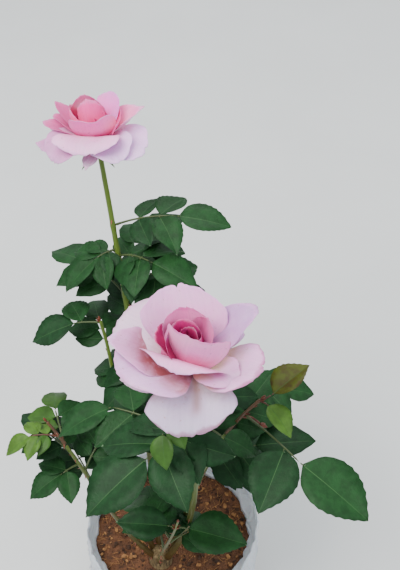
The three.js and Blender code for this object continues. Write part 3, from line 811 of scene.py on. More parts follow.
class ROSE_OT_canes(bpy.types.Operator):
    """Grows the stump and the canes, with their joints, thorns and buds"""
    bl_idname = "rose.canes"
    bl_label = "Stump and canes"

    def execute(self, context):
        sizes, colours = context.scene.rose_sizes, context.scene.rose_colours
        bm = bmesh.new()

        def stump_radius(share, angle):
            """Flared at the foot, drawn in at the top and knobbly."""
            swell = 1 - 1.4 * (share - 0.8) if share > 0.8 else 1
            radius = mix(STUMP_FLARE, STUMP_RADIUS, math.sqrt(share)) * swell
            relief = noise.noise(Vector((math.cos(angle) * 2.4, math.sin(angle) * 2.4, share * 3)))
            knobs = noise.noise(Vector((math.cos(angle) * 6, math.sin(angle) * 6, share * 7)))
            return (radius - 0.9 + 0.9 * relief + 0.5 * knobs) * closed_ends(share, 0.02)

        tube(bm, lambda s: STUMP.lerp(STUMP_TOP, s), lambda s: (STUMP_TOP - STUMP).normalized(),
             stump_radius, 40, 26)
        bmesh.ops.recalc_face_normals(bm, faces=bm.faces)
        add_piece("stump_bark", bm, [bark_material()], ["trunk"])

        skins = bmesh.new()
        for name, limb in LIMBS.items():
            joints = [mix(limb.bough, 1, leaf.at) for leaf in leaves_of(name)]
            joints += [limb.bough * k / 4 for k in range(1, 4)]
            ripe = RIPE.get(name, 1.0)
            self.skin(skins, limb, joints, 0, ripe, 0)
            if ripe < 1:
                self.skin(skins, limb, joints, ripe, 1, 1)
        bmesh.ops.recalc_face_normals(skins, faces=skins.faces)
        # the new shoots are as waxy as the canes, still red brown
        add_piece("cane_skins", skins, [
            cane_material(colours),
            mottled("new_shoot_skin", srgb("#54361c"), 10, 0.25, {"Roughness": 0.45})],
            [f"cane_{name}" for name in CANES])

        self.buds()
        self.thorns(sizes.thorn / MM)
        return {"FINISHED"}

    def skin(self, bm, limb, joints, start, end, material):
        """One stretch of a cane's skin, which swells at the foot and at each joint."""
        def on_cane(share):
            return mix(start, end, share)

        def radius(share, angle):
            place = on_cane(share)
            swell = sum(math.exp(-((place - joint) / 0.008) ** 2) for joint in joints)
            foot = 1 + 0.5 * math.exp(-place / 0.03)
            size = limb.radius(place) * foot * (1 + 0.16 * min(swell, 1.2))
            relief = 0.12 * noise.noise(Vector((angle, place * 60, 1)))
            return (size + relief) * closed_ends(share, 0.002)

        tube(bm, lambda share: limb.at(on_cane(share)), lambda share: limb.along(on_cane(share)),
             radius, 10, round(110 * (end - start)), material)

    def buds(self):
        """Buds and stipules at the tips and upper joints, and one short new shoot on the right."""
        bm = bmesh.new()
        for name, cane in CANES.items():
            if "bloom" in cane:
                continue
            limb = LIMBS[name]
            way = limb.along(1)
            bud(bm, limb.at(1) - way, way, 6.5, 1.5)
            for leaf in leaves_of(name):
                if leaf.at < 0.55:
                    continue
                out = (bearing(leaf.compass) + way * 1.2).normalized()
                for turn in (-28, 28):
                    bud(bm, leaf.start, Matrix.Rotation(math.radians(turn), 3, way) @ out, 6.5, 0.9)
        limb = LIMBS["right"]
        foot, tip = limb.at(0.90), limb.at(0.90) + Vector((17, -5, -5))
        tube(bm, lambda s: foot.lerp(tip, s) + Vector((0, 0, 4 * math.sin(math.pi * s))),
             lambda s: (tip - foot + Vector((0, 0, 12 * math.cos(math.pi * s)))).normalized(),
             lambda s, angle: (1.5 - 0.3 * s) * closed_ends(s, 0.02), 8, 10)
        for turn, size in ((0, 7.5), (34, 6), (-30, 5)):
            way = Matrix.Rotation(math.radians(turn), 3, "Z") @ (tip - foot).normalized()
            bud(bm, tip - way, way, size, 2.1)
        bmesh.ops.recalc_face_normals(bm, faces=bm.faces)
        # dry red scales
        add_piece("buds", bm, [
            mottled("red_bud_skin", srgb("#60260c"), 6, 0.3, {"Roughness": 0.5})], [])

    def thorns(self, length):
        """Thorns along the canes, which turn at random and stay off the tips."""
        spikes = bmesh.new()
        for index, limb in enumerate(LIMBS.values()):
            for k in range(THORN_PLACES):
                share = (k + 0.3 + 0.6 * chance(21 + index, k)) / THORN_PLACES
                if share > 0.93 or chance(22 + index, k) < 0.2:
                    continue
                way = limb.along(share)
                out = bearing(360 * chance(23 + index, k))
                out = (out - way * out.dot(way)).normalized()
                size = length * mix(0.55, 1.0, chance(24 + index, k))
                place = limb.at(share) + out * limb.radius(share)
                thorn(spikes, place, out, -way, size)
        bmesh.ops.recalc_face_normals(spikes, faces=spikes.faces)
        # dry and woody, with a faint sheen
        add_piece("thorns", spikes, [
            mottled("red_brown_thorn", srgb("#8a4a3a"), 6, 0.25, {"Roughness": 0.45})], [])


# Leaves

# places across half a leaflet: the midrib's side and the ridge between the veins
RIB = 0.03
RIDGE = 0.52

# rows and columns of a leaflet that shows plainly, and of one further in
LEAF_GRIDS = {
    True: (18, (-1.0, -RIDGE, -RIB, RIB, RIDGE, 1.0)),
    False: (8, (-1.0, -RIB, RIB, 1.0)),
}

# how far each kind of leaflet folds along its midrib and bends down toward its tip
LEAF_KINDS = ((0.30, 1.0), (0.20, 0.75), (0.26, 1.3), (0.42, 0.5))

# the ages at which a leaflet takes the next tone
TONE_AGES = (0.22, 0.5, 0.7, 0.9)

# usual length of a leaflet, which is 1 in a pattern
USUAL_LENGTH = 55


def leaf_outline(t):
    """A leaflet's half width along its length, 1 where it is widest."""
    peak = 0.36 ** 0.62 * 0.64 ** 1.1
    return t ** 0.62 * (1 - t) ** 1.1 / peak


def leaflet_pattern(kind, shows, width, thickness):
    """One leaflet of length 1 with saw teeth, a midrib and ridges between its veins. Material 0
    is the blade, 1 the midrib and 2 the underside."""
    rows, places = LEAF_GRIDS[shows]
    fold, bend = LEAF_KINDS[kind]
    columns = len(places) - 1
    bm = bmesh.new()
    grid = bmesh.ops.create_grid(bm, x_segments=columns, y_segments=rows, size=1)
    for vert in grid["verts"]:
        row = round((vert.co.y + 1) / 2 * rows)
        u = places[round((vert.co.x + 1) / 2 * columns)]
        t = row / rows
        tooth = row % 2
        forward = t + 0.10 * abs(u) * math.sin(math.pi * t) * (1 - 0.45 * t)
        half = width / 2 * leaf_outline(clamp(t, 0.0001, 0.9999))
        if abs(u) == 1.0:
            half *= 1.0 + (0.02 if tooth else -0.014) * math.sin(math.pi * t) ** 0.4
            forward += 0.010 if tooth else -0.005
        across = math.copysign(0.006 * (1 - 0.8 * t), u) if abs(u) == RIB else u * half
        rise = abs(across) * fold
        rise += 0.018 * math.sin(7 * t + 2 * kind + (2 if u > 0 else 0)) * u * u
        rise -= 0.14 * t * t * bend
        if abs(u) == RIDGE:
            rise += (0.016 if tooth else -0.012) * math.sin(math.pi * t)
        if abs(u) == RIB:
            rise -= 0.006
        vert.co = Vector((across, forward, rise))
    for face in bm.faces:
        face.material_index = 1 if abs(face.calc_center_median().x) < 0.005 else 0
    bmesh.ops.remove_doubles(bm, verts=bm.verts, dist=0.0015)
    bmesh.ops.recalc_face_normals(bm, faces=bm.faces)
    if sum(face.normal.z for face in bm.faces) < 0:
        bmesh.ops.reverse_faces(bm, faces=bm.faces)
    top = list(bm.faces)
    bmesh.ops.solidify(bm, geom=top, thickness=thickness)
    bm.faces.ensure_lookup_table()
    for face in bm.faces:
        if face.normal.z < 0:
            face.material_index = 2
    mesh = bpy.data.meshes.new("leaflet_pattern")
    bm.to_mesh(mesh)
    bm.free()
    return mesh


def leaf_materials(colours):
    """Rose leaf: a waxy, half matt blade that is dark when old and red brown when new, a paler
    midrib and a matt underside. Old blades are puckered in 9 mm patches."""
    blade = {"Roughness": 0.56, "IOR": 1.45, "Specular IOR Level": 0.20}
    soft = {"Roughness": 0.5, "IOR": 1.45, "Specular IOR Level": 0.25}
    # a blade for each tone, then the other two
    return [
        mottled("old_leaf_blade", colours.leaf_deep, 9, 0.22, blade, 0.45),
        mottled("grown_leaf_blade", colours.leaf, 9, 0.22, blade, 0.45),
        mottled("fresh_leaf_blade", blend(colours.leaf, colours.leaf_young, 0.5), 14, 0.25, soft,
                0.12),
        mottled("young_leaf_blade", colours.leaf_young, 14, 0.25, soft, 0.12),
        mottled("new_leaf_blade", colours.leaf_red, 12, 0.22, soft, other=srgb("#465208")),
        mottled("leaf_midrib", srgb("#34562e"), 14, 0.08, soft),
        mottled("leaf_underside", colours.leaf_under, 14, 0.10, {"Roughness": 0.7}),
    ]


class ROSE_OT_foliage(bpy.types.Operator):
    """Grows the leaves of each mass on its stem"""
    bl_idname = "rose.foliage"
    bl_label = "Foliage"

    def execute(self, context):
        sizes, colours = context.scene.rose_sizes, context.scene.rose_colours
        thickness = sizes.leaf_thickness / MM / USUAL_LENGTH
        patterns = {(kind, shows): leaflet_pattern(kind, shows, sizes.leaf_width, thickness)
                    for kind in range(len(LEAF_KINDS)) for shows in LEAF_GRIDS}
        materials = leaf_materials(colours)
        stalks = bmesh.new()
        for name in CANES:
            blades = bmesh.new()
            for leaf in leaves_of(name):
                self.stalk(stalks, leaf)
                for spot, along, face, length, number in leaf.leaflets():
                    self.leaflet(blades, patterns, leaf, spot, along, face, length, number)
            add_piece(f"leaves_{name}", blades, materials, [f"foliage_{name}"])
        for mesh in patterns.values():
            bpy.data.meshes.remove(mesh)
        bmesh.ops.recalc_face_normals(stalks, faces=stalks.faces)
        # smooth skin, red brown on new leaves
        add_piece("leaf_stalks", stalks, [
            mottled("green_leaf_stalk", srgb("#3c4a20"), 12, 0.2, {"Roughness": 0.5}),
            mottled("red_leaf_stalk", srgb("#502a1a"), 12, 0.2, {"Roughness": 0.5})], [])
        return {"FINISHED"}

    def stalk(self, bm, leaf):
        """A leaf's stalk, and the short ones of its leaflets."""
        def at(share):
            return leaf.point(leaf.reach * share)

        def along(share):
            return leaf.axes(leaf.reach * share)[0]

        def radius(share, angle):
            foot = 1 + 0.9 * math.exp(-share / 0.05)
            return mix(1.15, 0.7, share) * foot * closed_ends(share, 0.01)

        red = 1 if leaf.age > 0.62 else 0
        tube(bm, at, along, radius, 6, 14, material=red)
        for spot, way, _, length, _ in leaf.leaflets():
            tube(bm, lambda share: spot + way * length * 0.07 * share, lambda share: way,
                 lambda share, angle: 0.62 * closed_ends(share, 0.05), 5, 3, material=red)

    def leaflet(self, bm, patterns, leaf, spot, along, face, length, number):
        """Lays one leaflet: a pattern, curled and twisted a little, with the tone of its age."""
        key = leaf.key * 10 + number
        if leaf.age > 0.55:
            kind = 3 if leaf.age > 0.8 else 2
        else:
            kind = 0 if chance(key, 1) < 0.45 else 1
        age = clamp(leaf.age + 0.2 * (chance(key, 2) - 0.5))
        tone = sum(age > step for step in TONE_AGES)
        across = along.cross(face).normalized()
        before = len(bm.verts)
        faces_before = len(bm.faces)
        bm.from_mesh(patterns[kind, leaf.shows])
        bm.verts.ensure_lookup_table()
        bm.faces.ensure_lookup_table()
        base = spot + along * length * 0.05
        width = mix(0.92, 1.06, chance(key, 3))
        curl = mix(-0.05, 0.14, chance(key, 4))
        twist = 0.5 * (chance(key, 5) - 0.5)
        for vert in bm.verts[before:]:
            x, y, z = vert.co
            z -= curl * y * y
            x, z = (x * math.cos(twist * y) - z * math.sin(twist * y),
                    x * math.sin(twist * y) + z * math.cos(twist * y))
            vert.co = base + (across * x * width + along * y * 0.95 + face * z) * length
        for face_made in bm.faces[faces_before:]:
            part = face_made.material_index
            face_made.material_index = tone if part == 0 else len(TONE_AGES) + part


# Blooms

PETAL_STEPS = 24         # steps in a petal's profile
PETAL_GRID = (36, 24)    # faces across and along a petal
SEPAL_GRID = (4, 10)


class Petal:
    """A petal's surface.

    compass, length, width: where it stands and its size; out, up: where its root is
    root, middle, tip: degrees its profile leans out from the bloom's axis
    wrap, roll: degrees its sides bend in and its edges roll out
    corner, top, foot, point: how round its corners are, how wide its rim and the two sides of its
    root are, and how far its tip stands out
    lean, ruffle, notches: how it veers, waves, and is bitten at (place, depth, spread)
    """

    def __init__(self, tone, compass, length, width, root, middle, tip, wrap, out=5, up=0,
                 corner=0.34, point=0.0, roll=0.0, ruffle=1.0, lean=0.0, notches=(), top=0.78,
                 foot=(0.26, 0.26)):
        self.tone, self.compass, self.length, self.width = tone, compass, length, width
        self.root, self.middle, self.tip, self.wrap = root, middle, tip, wrap
        self.corner, self.point, self.roll, self.ruffle = corner, point, roll, ruffle
        self.lean, self.notches, self.top, self.foot = lean, notches, top, foot
        self.profile = []
        r, z = out, up
        for i in range(PETAL_STEPS + 1):
            self.profile.append((r, z, self.angle(i / PETAL_STEPS)))
            angle = self.angle((i + 0.5) / PETAL_STEPS)
            r += math.sin(angle) * length / PETAL_STEPS
            z += math.cos(angle) * length / PETAL_STEPS

    def angle(self, s):
        """How far the profile leans out, in radians."""
        if s < 0.55:
            return math.radians(mix(self.root, self.middle, smooth(s / 0.55)))
        return math.radians(mix(self.middle, self.tip, smooth((s - 0.55) / 0.45) ** 1.3))

    def half(self, s, u):
        """The width from the middle to the side that `u` is on."""
        if s < 0.62:
            share = mix(self.foot[u > 0], 1, math.sin(math.pi / 2 * s / 0.62) ** 1.15)
        else:
            share = 1 - (1 - self.top) * ((s - 0.62) / 0.38) ** 2
        return self.width / 2 * share

    def at(self, u, v):
        """The place at `u`, -1 to 1 across the petal, and `v`, 0 to 1 along it."""
        # fraying and bites shorten the petal toward its rim
        frayed = (1.7 * noise.noise(Vector((u * 5, self.compass, 0)))
                  + 1.2 * noise.noise(Vector((u * 15, self.compass, 5))) - 0.9)
        s = v * (1 - self.corner * abs(u) ** 2.6 * v * v) + frayed * v ** 8 / self.length
        for place, depth, spread in self.notches:
            s -= depth / self.length * v ** 10 * math.exp(-((u - place) / spread) ** 2)
        s = clamp(s, 0, 0.9999)
        step = int(s * PETAL_STEPS)
        share = s * PETAL_STEPS - step
        (r, z, a), (r2, z2, a2) = self.profile[step], self.profile[step + 1]
        r, z, a = mix(r, r2, share), mix(z, z2, share), mix(a, a2, share)
        # its sides bend in, and roll out again past half way
        half = self.half(s, u) + s * (noise.noise(Vector((s * 9, self.compass, u * 2)))
                                      + 0.7 * noise.noise(Vector((s * 27, self.compass, u * 2))))
        wrap = math.radians(self.wrap) * (0.35 + 0.65 * smooth(s / 0.7))
        roll = math.radians(self.roll) * smooth(s, 0.15, 0.85)
        side = inward = 0.0
        for k in range(8):
            q = abs(u) * (k + 0.5) / 8
            bend = wrap * q - roll * max(0.0, (q - 0.5) / 0.5) ** 2
            side += math.cos(bend) * half * abs(u) / 8
            inward += math.sin(bend) * half * abs(u) / 8
        # waves, a little unevenness and the point at the tip
        phase = self.compass * 0.31
        inward -= self.ruffle * math.sin(math.tau * u + phase) * s ** 3 * (0.3 + 0.7 * abs(u))
        inward -= 0.5 * noise.noise(Vector((u * 2.5, s * 3, self.compass)))
        point = self.point * v ** 6 * math.exp(-(u / 0.22) ** 2)
        out = r + math.sin(a) * point - math.cos(a) * inward
        rise = z + math.cos(a) * point + math.sin(a) * inward
        side = math.copysign(side, u) + math.tan(math.radians(self.lean)) * s * self.length
        return (bearing(self.compass) * out + bearing(self.compass + 90) * side
                + Vector((0, 0, rise)))


def petals_front():
    """The near bloom's petals, from the guard petals in to the heart."""
    return [
        Petal("shaded_bottom", 5, 54, 72, 93, 113, 135, 17, out=4.2, up=-1, corner=0.42, roll=19, lean=-7,
              top=0.80, ruffle=1.3, notches=((0.16, 2.2, 0.03), (0.80, 1.6, 0.05))),
        Petal("guard", -53, 58, 66, 66, 64, 78, 23, out=4.5, up=-2, corner=0.33, roll=9, lean=-13,
              top=0.80),
        Petal("cream", -79, 53, 47, 81, 89, 99, 23, up=-3, corner=0.29, lean=-3, top=0.80),
        Petal("blush", -80, 63, 44, 70, 59, 59, 6, out=4.6, corner=0.42, point=3, roll=5, lean=-12,
              top=0.74, foot=(0.75, 0.26)),
        Petal("cream", -119, 64, 62, 59, 76, 95, 22, corner=0.27, roll=19, top=0.82),
        Petal("lilac", 113, 67, 33, 43, 47, 91, 32, out=4.5, corner=0.41, roll=24, lean=4,
              top=0.71),
        Petal("warm", 59, 54, 50, 70, 63, 79, 15, up=-1, corner=0.27, point=1, roll=23, lean=11,
              top=0.86, notches=((0.28, 2.4, 0.05),)),
        Petal("warm", 41, 42, 35, 56, 72, 102, 33, out=3.7, up=2, corner=0.33, roll=17, lean=9,
              top=0.79),
        Petal("guard", 160, 50, 62, 70, 92, 104, 15, up=-2, corner=0.36, roll=20),
        Petal("cream", -150, 54, 60, 66, 84, 92, 15, up=-1, roll=20),
        Petal("back", 183, 60, 70, 35, 46, 52, 39, out=4, up=1, corner=0.32, roll=20, lean=8,
              top=0.76, notches=((0.07, 3.2, 0.03), (-0.05, -1.0, 0.05), (0.3, 1.2, 0.06))),
        Petal("lip", -19, 40, 76, 16, 33, 130, 2, out=4, up=2, corner=0.58, roll=8, lean=-6,
              top=0.62),
        Petal("inner", -20, 57, 56, -1, 7, 5, 50, out=11, up=5, corner=0.16, point=1, lean=9,
              top=0.94, foot=(0.85, 0.30)),
        Petal("fold", -108, 42, 35, 28, 31, 38, 58, out=6.1, up=3, corner=0.10, lean=5, top=0.73),
        Petal("fold", -106, 44, 32, 15, 25, -10, 34, out=5.5, up=3, corner=0.15, roll=5, lean=6,
              top=0.80),
        Petal("rose", 189, 48, 40, 19, 17, 21, 45, out=6.1, up=3, corner=0.16, lean=5, top=0.75),
        Petal("rose", 120, 44, 32, 18, 14, 7, 44, out=6.2, up=3, corner=0.24, lean=2, top=0.77),
        Petal("core", 182, 43, 30, 10, 9, 9, 57, out=5.1, up=3, corner=0.14, lean=8, top=0.76),
        Petal("heart", -120, 37, 22, 8, 6, 6, 60, out=3.8, up=3, corner=0.20),
        Petal("core", 66, 39, 27, 8, 4, -4, 62, out=4.6, up=3, corner=0.20, roll=6),
        Petal("core", 150, 40, 24, 6, 2, -2, 70, out=3.6, up=3, corner=0.20, lean=4),
        Petal("heart", -40, 33, 18, 4, 0, -2, 80, out=2.2, up=3, corner=0.20),
        Petal("heart", 190, 30, 20, 4, -16, -58, 64, out=2.8, up=3, corner=0.20),
        Petal("core", 30, 28, 20, 4, -18, -62, 64, out=2.8, up=3, corner=0.20),
        Petal("heart", -80, 27, 18, 4, -18, -60, 64, out=2.6, up=3, corner=0.20),
    ]


def petals_rear():
    """The far bloom's petals: flat guard petals under a rounder, deeper pink heart."""
    return [
        Petal("dusk", -90, 55, 41, 29, 111, 72, 2, corner=0.44, point=3, roll=18, lean=7,
              top=0.82),
        Petal("dusk", -52, 53, 48, 28, 98, 133, 26, up=1, corner=0.28, lean=2, top=0.94),
        Petal("cream", -13, 37, 15, 80, 86, 92, 4, out=4.7, up=-2, corner=0.36, point=4, lean=4),
        Petal("shell", -9, 47, 62, 28, 80, 124, 14, out=6.4, up=6, corner=0.22, roll=6,
              ruffle=1.2, foot=(0.4, 0.4)),
        Petal("pearl", 30, 53, 46, 28, 97, 118, 22, up=1, corner=0.39, roll=19, lean=-1, top=0.81),
        Petal("pearl", 57, 53, 57, 32, 104, 109, 13, out=5.5, up=-1, corner=0.33, point=1, roll=14,
              top=0.75, ruffle=1.4, notches=((0.35, 2.0, 0.08),)),
        Petal("shell", 176, 52, 60, 70, 90, 100, 15, up=-2, roll=20),
        Petal("shell", -140, 52, 54, 60, 80, 90, 15, up=-1, roll=20),
        Petal("salmon", 97, 49, 37, 36, 58, 71, 38, out=4.5, up=1, corner=0.47, point=5, roll=28,
              lean=2),
        Petal("tall", 140, 47, 31, 30, 31, 19, 31, out=4.3, up=1, corner=0.22, roll=3, lean=-4,
              top=0.83),
        Petal("flank", -111, 50, 19, 50, 43, 40, 34, out=4.1, up=1, corner=0.34, point=1, lean=-3),
        Petal("flank", -101, 44, 20, 57, 52, 67, 33, out=3.7, up=2, corner=0.36, lean=-4),
        Petal("flank", -90, 50, 23, 53, 70, 68, 37, out=3.8, up=2, corner=0.37, lean=-6),
        Petal("blushed", 1, 40, 50, 54, 16, 52, 54, out=4.2, up=6, corner=0.34, ruffle=1.8),
        Petal("globe", 101, 38, 41, 50, 33, 17, 38, up=2, corner=0.15, roll=1, lean=-9),
        Petal("globe", 188, 46, 41, 40, 0, -23, 69, up=3, corner=0.20, lean=7, top=0.73),
        Petal("globe", -82, 44, 30, 46, 14, -13, 66, out=6.5, up=3, corner=0.25, lean=-1),
        Petal("globe", 8, 48, 33, 38, -6, -37, 78, out=4, up=4, corner=0.16, point=1, lean=-2),
        Petal("core", 70, 40, 28, 26, -4, -36, 66, out=3.4, up=4, corner=0.24),
        Petal("core", -70, 40, 28, 24, -4, -34, 68, out=3.2, up=4, corner=0.24),
    ]


# how much further than usual the root's colour climbs, and the painted shade it carries with it
PETAL_CLIMB = {"blush": 1.5, "guard": 1.15, "warm": 1.2}

# a petal's colours at its root, above it, on its body and at its rim. The darker root and the
# colour above it are partly the petal's own base colour and partly painted shade of the creases
# where the petals meet. The deep tones of the hearts, fold, rose, core, heart and globe, are
# partly the rose's own deeper pink and partly painted shade in the cups and painted pink light
# that the petals throw on each other.
PETAL_TONES = {
    # the lowest petal: its darker rim is painted shade where the petal curves away from the light
    "shaded_bottom": ("#a08474", "#b49ca4", "#c9b3d0", "#a8809a"),
    "guard": ("#8a4a48", "#b87c8c", "#e2acdf", "#e0a2d4"),
    "cream": ("#b08478", "#cc9cac", "#e2bcd6", "#d8aeca"),
    # the left petal: its brownish root, which climbs far up it, is partly its beige base and partly
    # painted shadow at the petal's base
    "blush": ("#86443e", "#985056", "#dc98c8", "#f3b4ea"),
    # the petal at the back right: its darker body is painted shade, since this petal is less lit
    "lilac": ("#b08494", "#b88cb4", "#ba8cc0", "#d8a0d4"),
    "warm": ("#b8a070", "#c6a488", "#e2a4d2", "#c47aa8"),
    "back": ("#c8709c", "#e29cd0", "#f2a6dd", "#f6a8e6"),
    "lip": ("#c0527e", "#e28cbc", "#f8a8dc", "#f6b0e6"),
    "inner": ("#9c3b5d", "#f26eae", "#ff7ec8", "#ff46b4"),
    # the folded petals left of the heart: their dark crimson is partly painted shadow between the
    # inner petals
    "fold": ("#500622", "#6e0c38", "#941e52", "#e0689c"),
    "rose": ("#7c1040", "#ac346e", "#d8609e", "#cc4c90"),
    "core": ("#3c0016", "#6c0430", "#bc1c66", "#dc5098"),
    "heart": ("#2c0010", "#4c041c", "#6c0a2e", "#84143e"),
    "shell": ("#b8667e", "#e08cb8", "#f8acdc", "#f8b0e4"),
    "dusk": ("#a0546c", "#c4789c", "#d48cc0", "#e09cd0"),
    "pearl": ("#a87c70", "#cc8ca8", "#e8b4ea", "#eec0f2"),
    "salmon": ("#c04a6a", "#ea5898", "#f884b8", "#f8a8d4"),
    "tall": ("#e86cac", "#fa7cc8", "#fc84e2", "#fc90ea"),
    "blushed": ("#b8366c", "#e0488e", "#f674c0", "#f898d4"),
    "flank": ("#a0144a", "#cc3c78", "#d05c96", "#de7cb2"),
    # its dark root and the colour above it are painted shade on the left side of the far bloom's
    # ball
    "globe": ("#80063a", "#c82470", "#ff4c9c", "#ff78b8"),
}


def petal_colours(tone, blush):
    """A tone's four colours, greyer where `blush` is below 1 and deeper where it is above."""
    colours = []
    for code in PETAL_TONES[tone]:
        colour = srgb(code)
        grey = 0.3 * colour[0] + 0.6 * colour[1] + 0.1 * colour[2]
        colours.append(tuple(clamp(mix(grey, c, blush)) for c in colour))
    return colours


def petal_material(tone, blush):
    """Rose petal, thin and velvety: light soaks in, colour gathers at the root, partly painted
    shade of the creases there, and faint streaks run up it, which tell how thin it is. Its map
    gives the place on the petal."""
    nodes = Nodes(f"{tone}_petal")
    root, above, body, rim = petal_colours(tone, blush)
    climb = PETAL_CLIMB.get(tone, 1.0)
    uv = nodes.add("ShaderNodeUVMap", uv_map="petal").outputs["UV"]
    parts = nodes.add("ShaderNodeSeparateXYZ", {"Vector": uv})
    place = nodes.add("ShaderNodeTexCoord").outputs["Object"]
    cloud = nodes.add("ShaderNodeTexNoise", {"Vector": place},
                      {"Scale": patches_of(16), "Detail": 4.0, "Roughness": 0.6})
    drift = nodes.add("ShaderNodeMapRange", {"Value": cloud.outputs["Fac"]},
                      {"From Min": 0.3, "From Max": 0.7, "To Min": -0.07, "To Max": 0.07})
    level = nodes.add("ShaderNodeMath", {0: parts.outputs["Y"], 1: drift.outputs["Result"]},
                      operation="ADD")
    tint = nodes.add("ShaderNodeValToRGB", {"Fac": level.outputs["Value"]}, stops=[
        (0.04, root), (0.30 * climb, above), (0.58 * climb, body), (0.90, body), (1.0, rim)])
    tint = petal_marks(nodes, place, parts, level, tint.outputs["Color"], body, rim)
    stretch = nodes.add("ShaderNodeMapping", {"Vector": uv}, {"Scale": (30, 1.4, 1)})
    veins = nodes.add("ShaderNodeTexNoise", {"Vector": stretch.outputs["Vector"]},
                      {"Scale": 1.0, "Detail": 3.0, "Roughness": 0.6})
    streak = nodes.add("ShaderNodeMapRange", {"Value": veins.outputs["Fac"]},
                       {"From Min": 0.35, "From Max": 0.65, "To Min": 0.93, "To Max": 1.0})
    colour = nodes.add("ShaderNodeMix", {"A": tint, "B": streak.outputs["Result"]},
                       {"Factor": 1.0}, data_type="RGBA", blend_type="MULTIPLY").outputs["Result"]
    # the lowest petal's brown streak is partly painted shade in its centre channel
    if tone == "shaded_bottom":
        colour = brown_streak_and_shade(nodes, parts, colour)
    return nodes.finish(colour, veins.outputs["Fac"], 0.10,
                        {"Roughness": 0.62, "IOR": 1.4, "Specular IOR Level": 0.15,
                         "Sheen Weight": 0.05, "Sheen Roughness": 0.4, "Subsurface Weight": 0.3,
                         "Subsurface Scale": 0.004, "Subsurface Radius": (1.0, 0.45, 0.6)})


def petal_marks(nodes, place, parts, level, tint, body, rim):
    """Puts pale 12 mm patches, a darker edge and brown specks over a petal's colour. The specks
    are 2.8 mm, coarser than real ones, so that they show."""
    patches = nodes.add("ShaderNodeTexNoise", {"Vector": place},
                        {"Scale": patches_of(12), "Detail": 5.0, "Roughness": 0.62,
                         "Distortion": 0.6})
    paler = nodes.add("ShaderNodeMapRange", {"Value": patches.outputs["Fac"]},
                      {"From Min": 0.45, "From Max": 0.68, "To Min": 0.0, "To Max": 0.4})
    cream = blend(body, srgb("#f4ecec"), 0.4 * clamp(2 * body[1]))
    tint = nodes.add("ShaderNodeMix", {"Factor": paler.outputs["Result"], "A": tint},
                     {"B": (*cream, 1)}, data_type="RGBA").outputs["Result"]
    side = nodes.add("ShaderNodeMath", {0: parts.outputs["X"]}, {1: 0.5}, operation="SUBTRACT")
    side = nodes.add("ShaderNodeMath", {0: side.outputs["Value"]}, operation="ABSOLUTE")
    side = nodes.add("ShaderNodeMath", {0: side.outputs["Value"]}, {1: 2.0}, operation="MULTIPLY")
    edge = nodes.add("ShaderNodeMath", {0: side.outputs["Value"], 1: level.outputs["Value"]},
                     operation="MAXIMUM")
    edge = nodes.add("ShaderNodeMapRange", {"Value": edge.outputs["Value"]},
                     {"From Min": 0.93, "From Max": 1.02, "To Min": 0.0, "To Max": 0.6})
    tint = nodes.add("ShaderNodeMix", {"Factor": edge.outputs["Result"], "A": tint},
                     {"B": (*shade(rim, 0.72), 1)}, data_type="RGBA").outputs["Result"]
    specks = nodes.add("ShaderNodeTexNoise", {"Vector": place},
                       {"Scale": patches_of(2.8), "Detail": 2.0, "Roughness": 0.5})
    speck = nodes.add("ShaderNodeMapRange", {"Value": specks.outputs["Fac"]},
                      {"From Min": 0.68, "From Max": 0.76, "To Min": 0.0, "To Max": 0.5})
    brown = shade(srgb("#a8705c"), clamp(2.5 * body[1]))
    return nodes.add("ShaderNodeMix", {"Factor": speck.outputs["Result"], "A": tint},
                     {"B": (*brown, 1)}, data_type="RGBA").outputs["Result"]


def brown_streak_and_shade(nodes, parts, colour):
    """A brown streak up the middle of the lowest petal, partly its own brownish tint and partly
    painted shade in its centre channel, worked from the petal's map.
    """
    off = nodes.add("ShaderNodeMath", {0: parts.outputs["X"]}, {1: 0.56}, operation="SUBTRACT")
    off = nodes.add("ShaderNodeMath", {0: off.outputs["Value"]}, operation="ABSOLUTE")
    across = nodes.add("ShaderNodeMapRange", {"Value": off.outputs["Value"]},
                       {"From Min": 0.0, "From Max": 0.10, "To Min": 1.0, "To Max": 0.0},
                       interpolation_type="SMOOTHSTEP")
    along = nodes.add("ShaderNodeMapRange", {"Value": parts.outputs["Y"]},
                      {"From Min": 0.56, "From Max": 0.78, "To Min": 0.62, "To Max": 0.0},
                      interpolation_type="SMOOTHSTEP")
    share = nodes.add("ShaderNodeMath", {0: across.outputs["Result"], 1: along.outputs["Result"]},
                      operation="MULTIPLY")
    return nodes.add("ShaderNodeMix", {"Factor": share.outputs["Value"], "A": colour},
                     {"B": (*srgb("#8a6652"), 1)}, data_type="RGBA").outputs["Result"]


def petal_sheet(bm, petal, across, along, thickness):
    """A petal's mesh: a grid laid on its surface, with its map, made as thick as it is."""
    layer = bm.loops.layers.uv.verify()
    made = bmesh.ops.create_grid(bm, x_segments=across, y_segments=along, size=1)["verts"]
    faces = faces_of(made)
    for face in faces:
        for loop in face.loops:
            loop[layer].uv = ((loop.vert.co.x + 1) / 2, (loop.vert.co.y + 1) / 2)
    warp(made, lambda co: petal.at(co.x, (co.y + 1) / 2))
    bmesh.ops.solidify(bm, geom=faces, thickness=thickness)


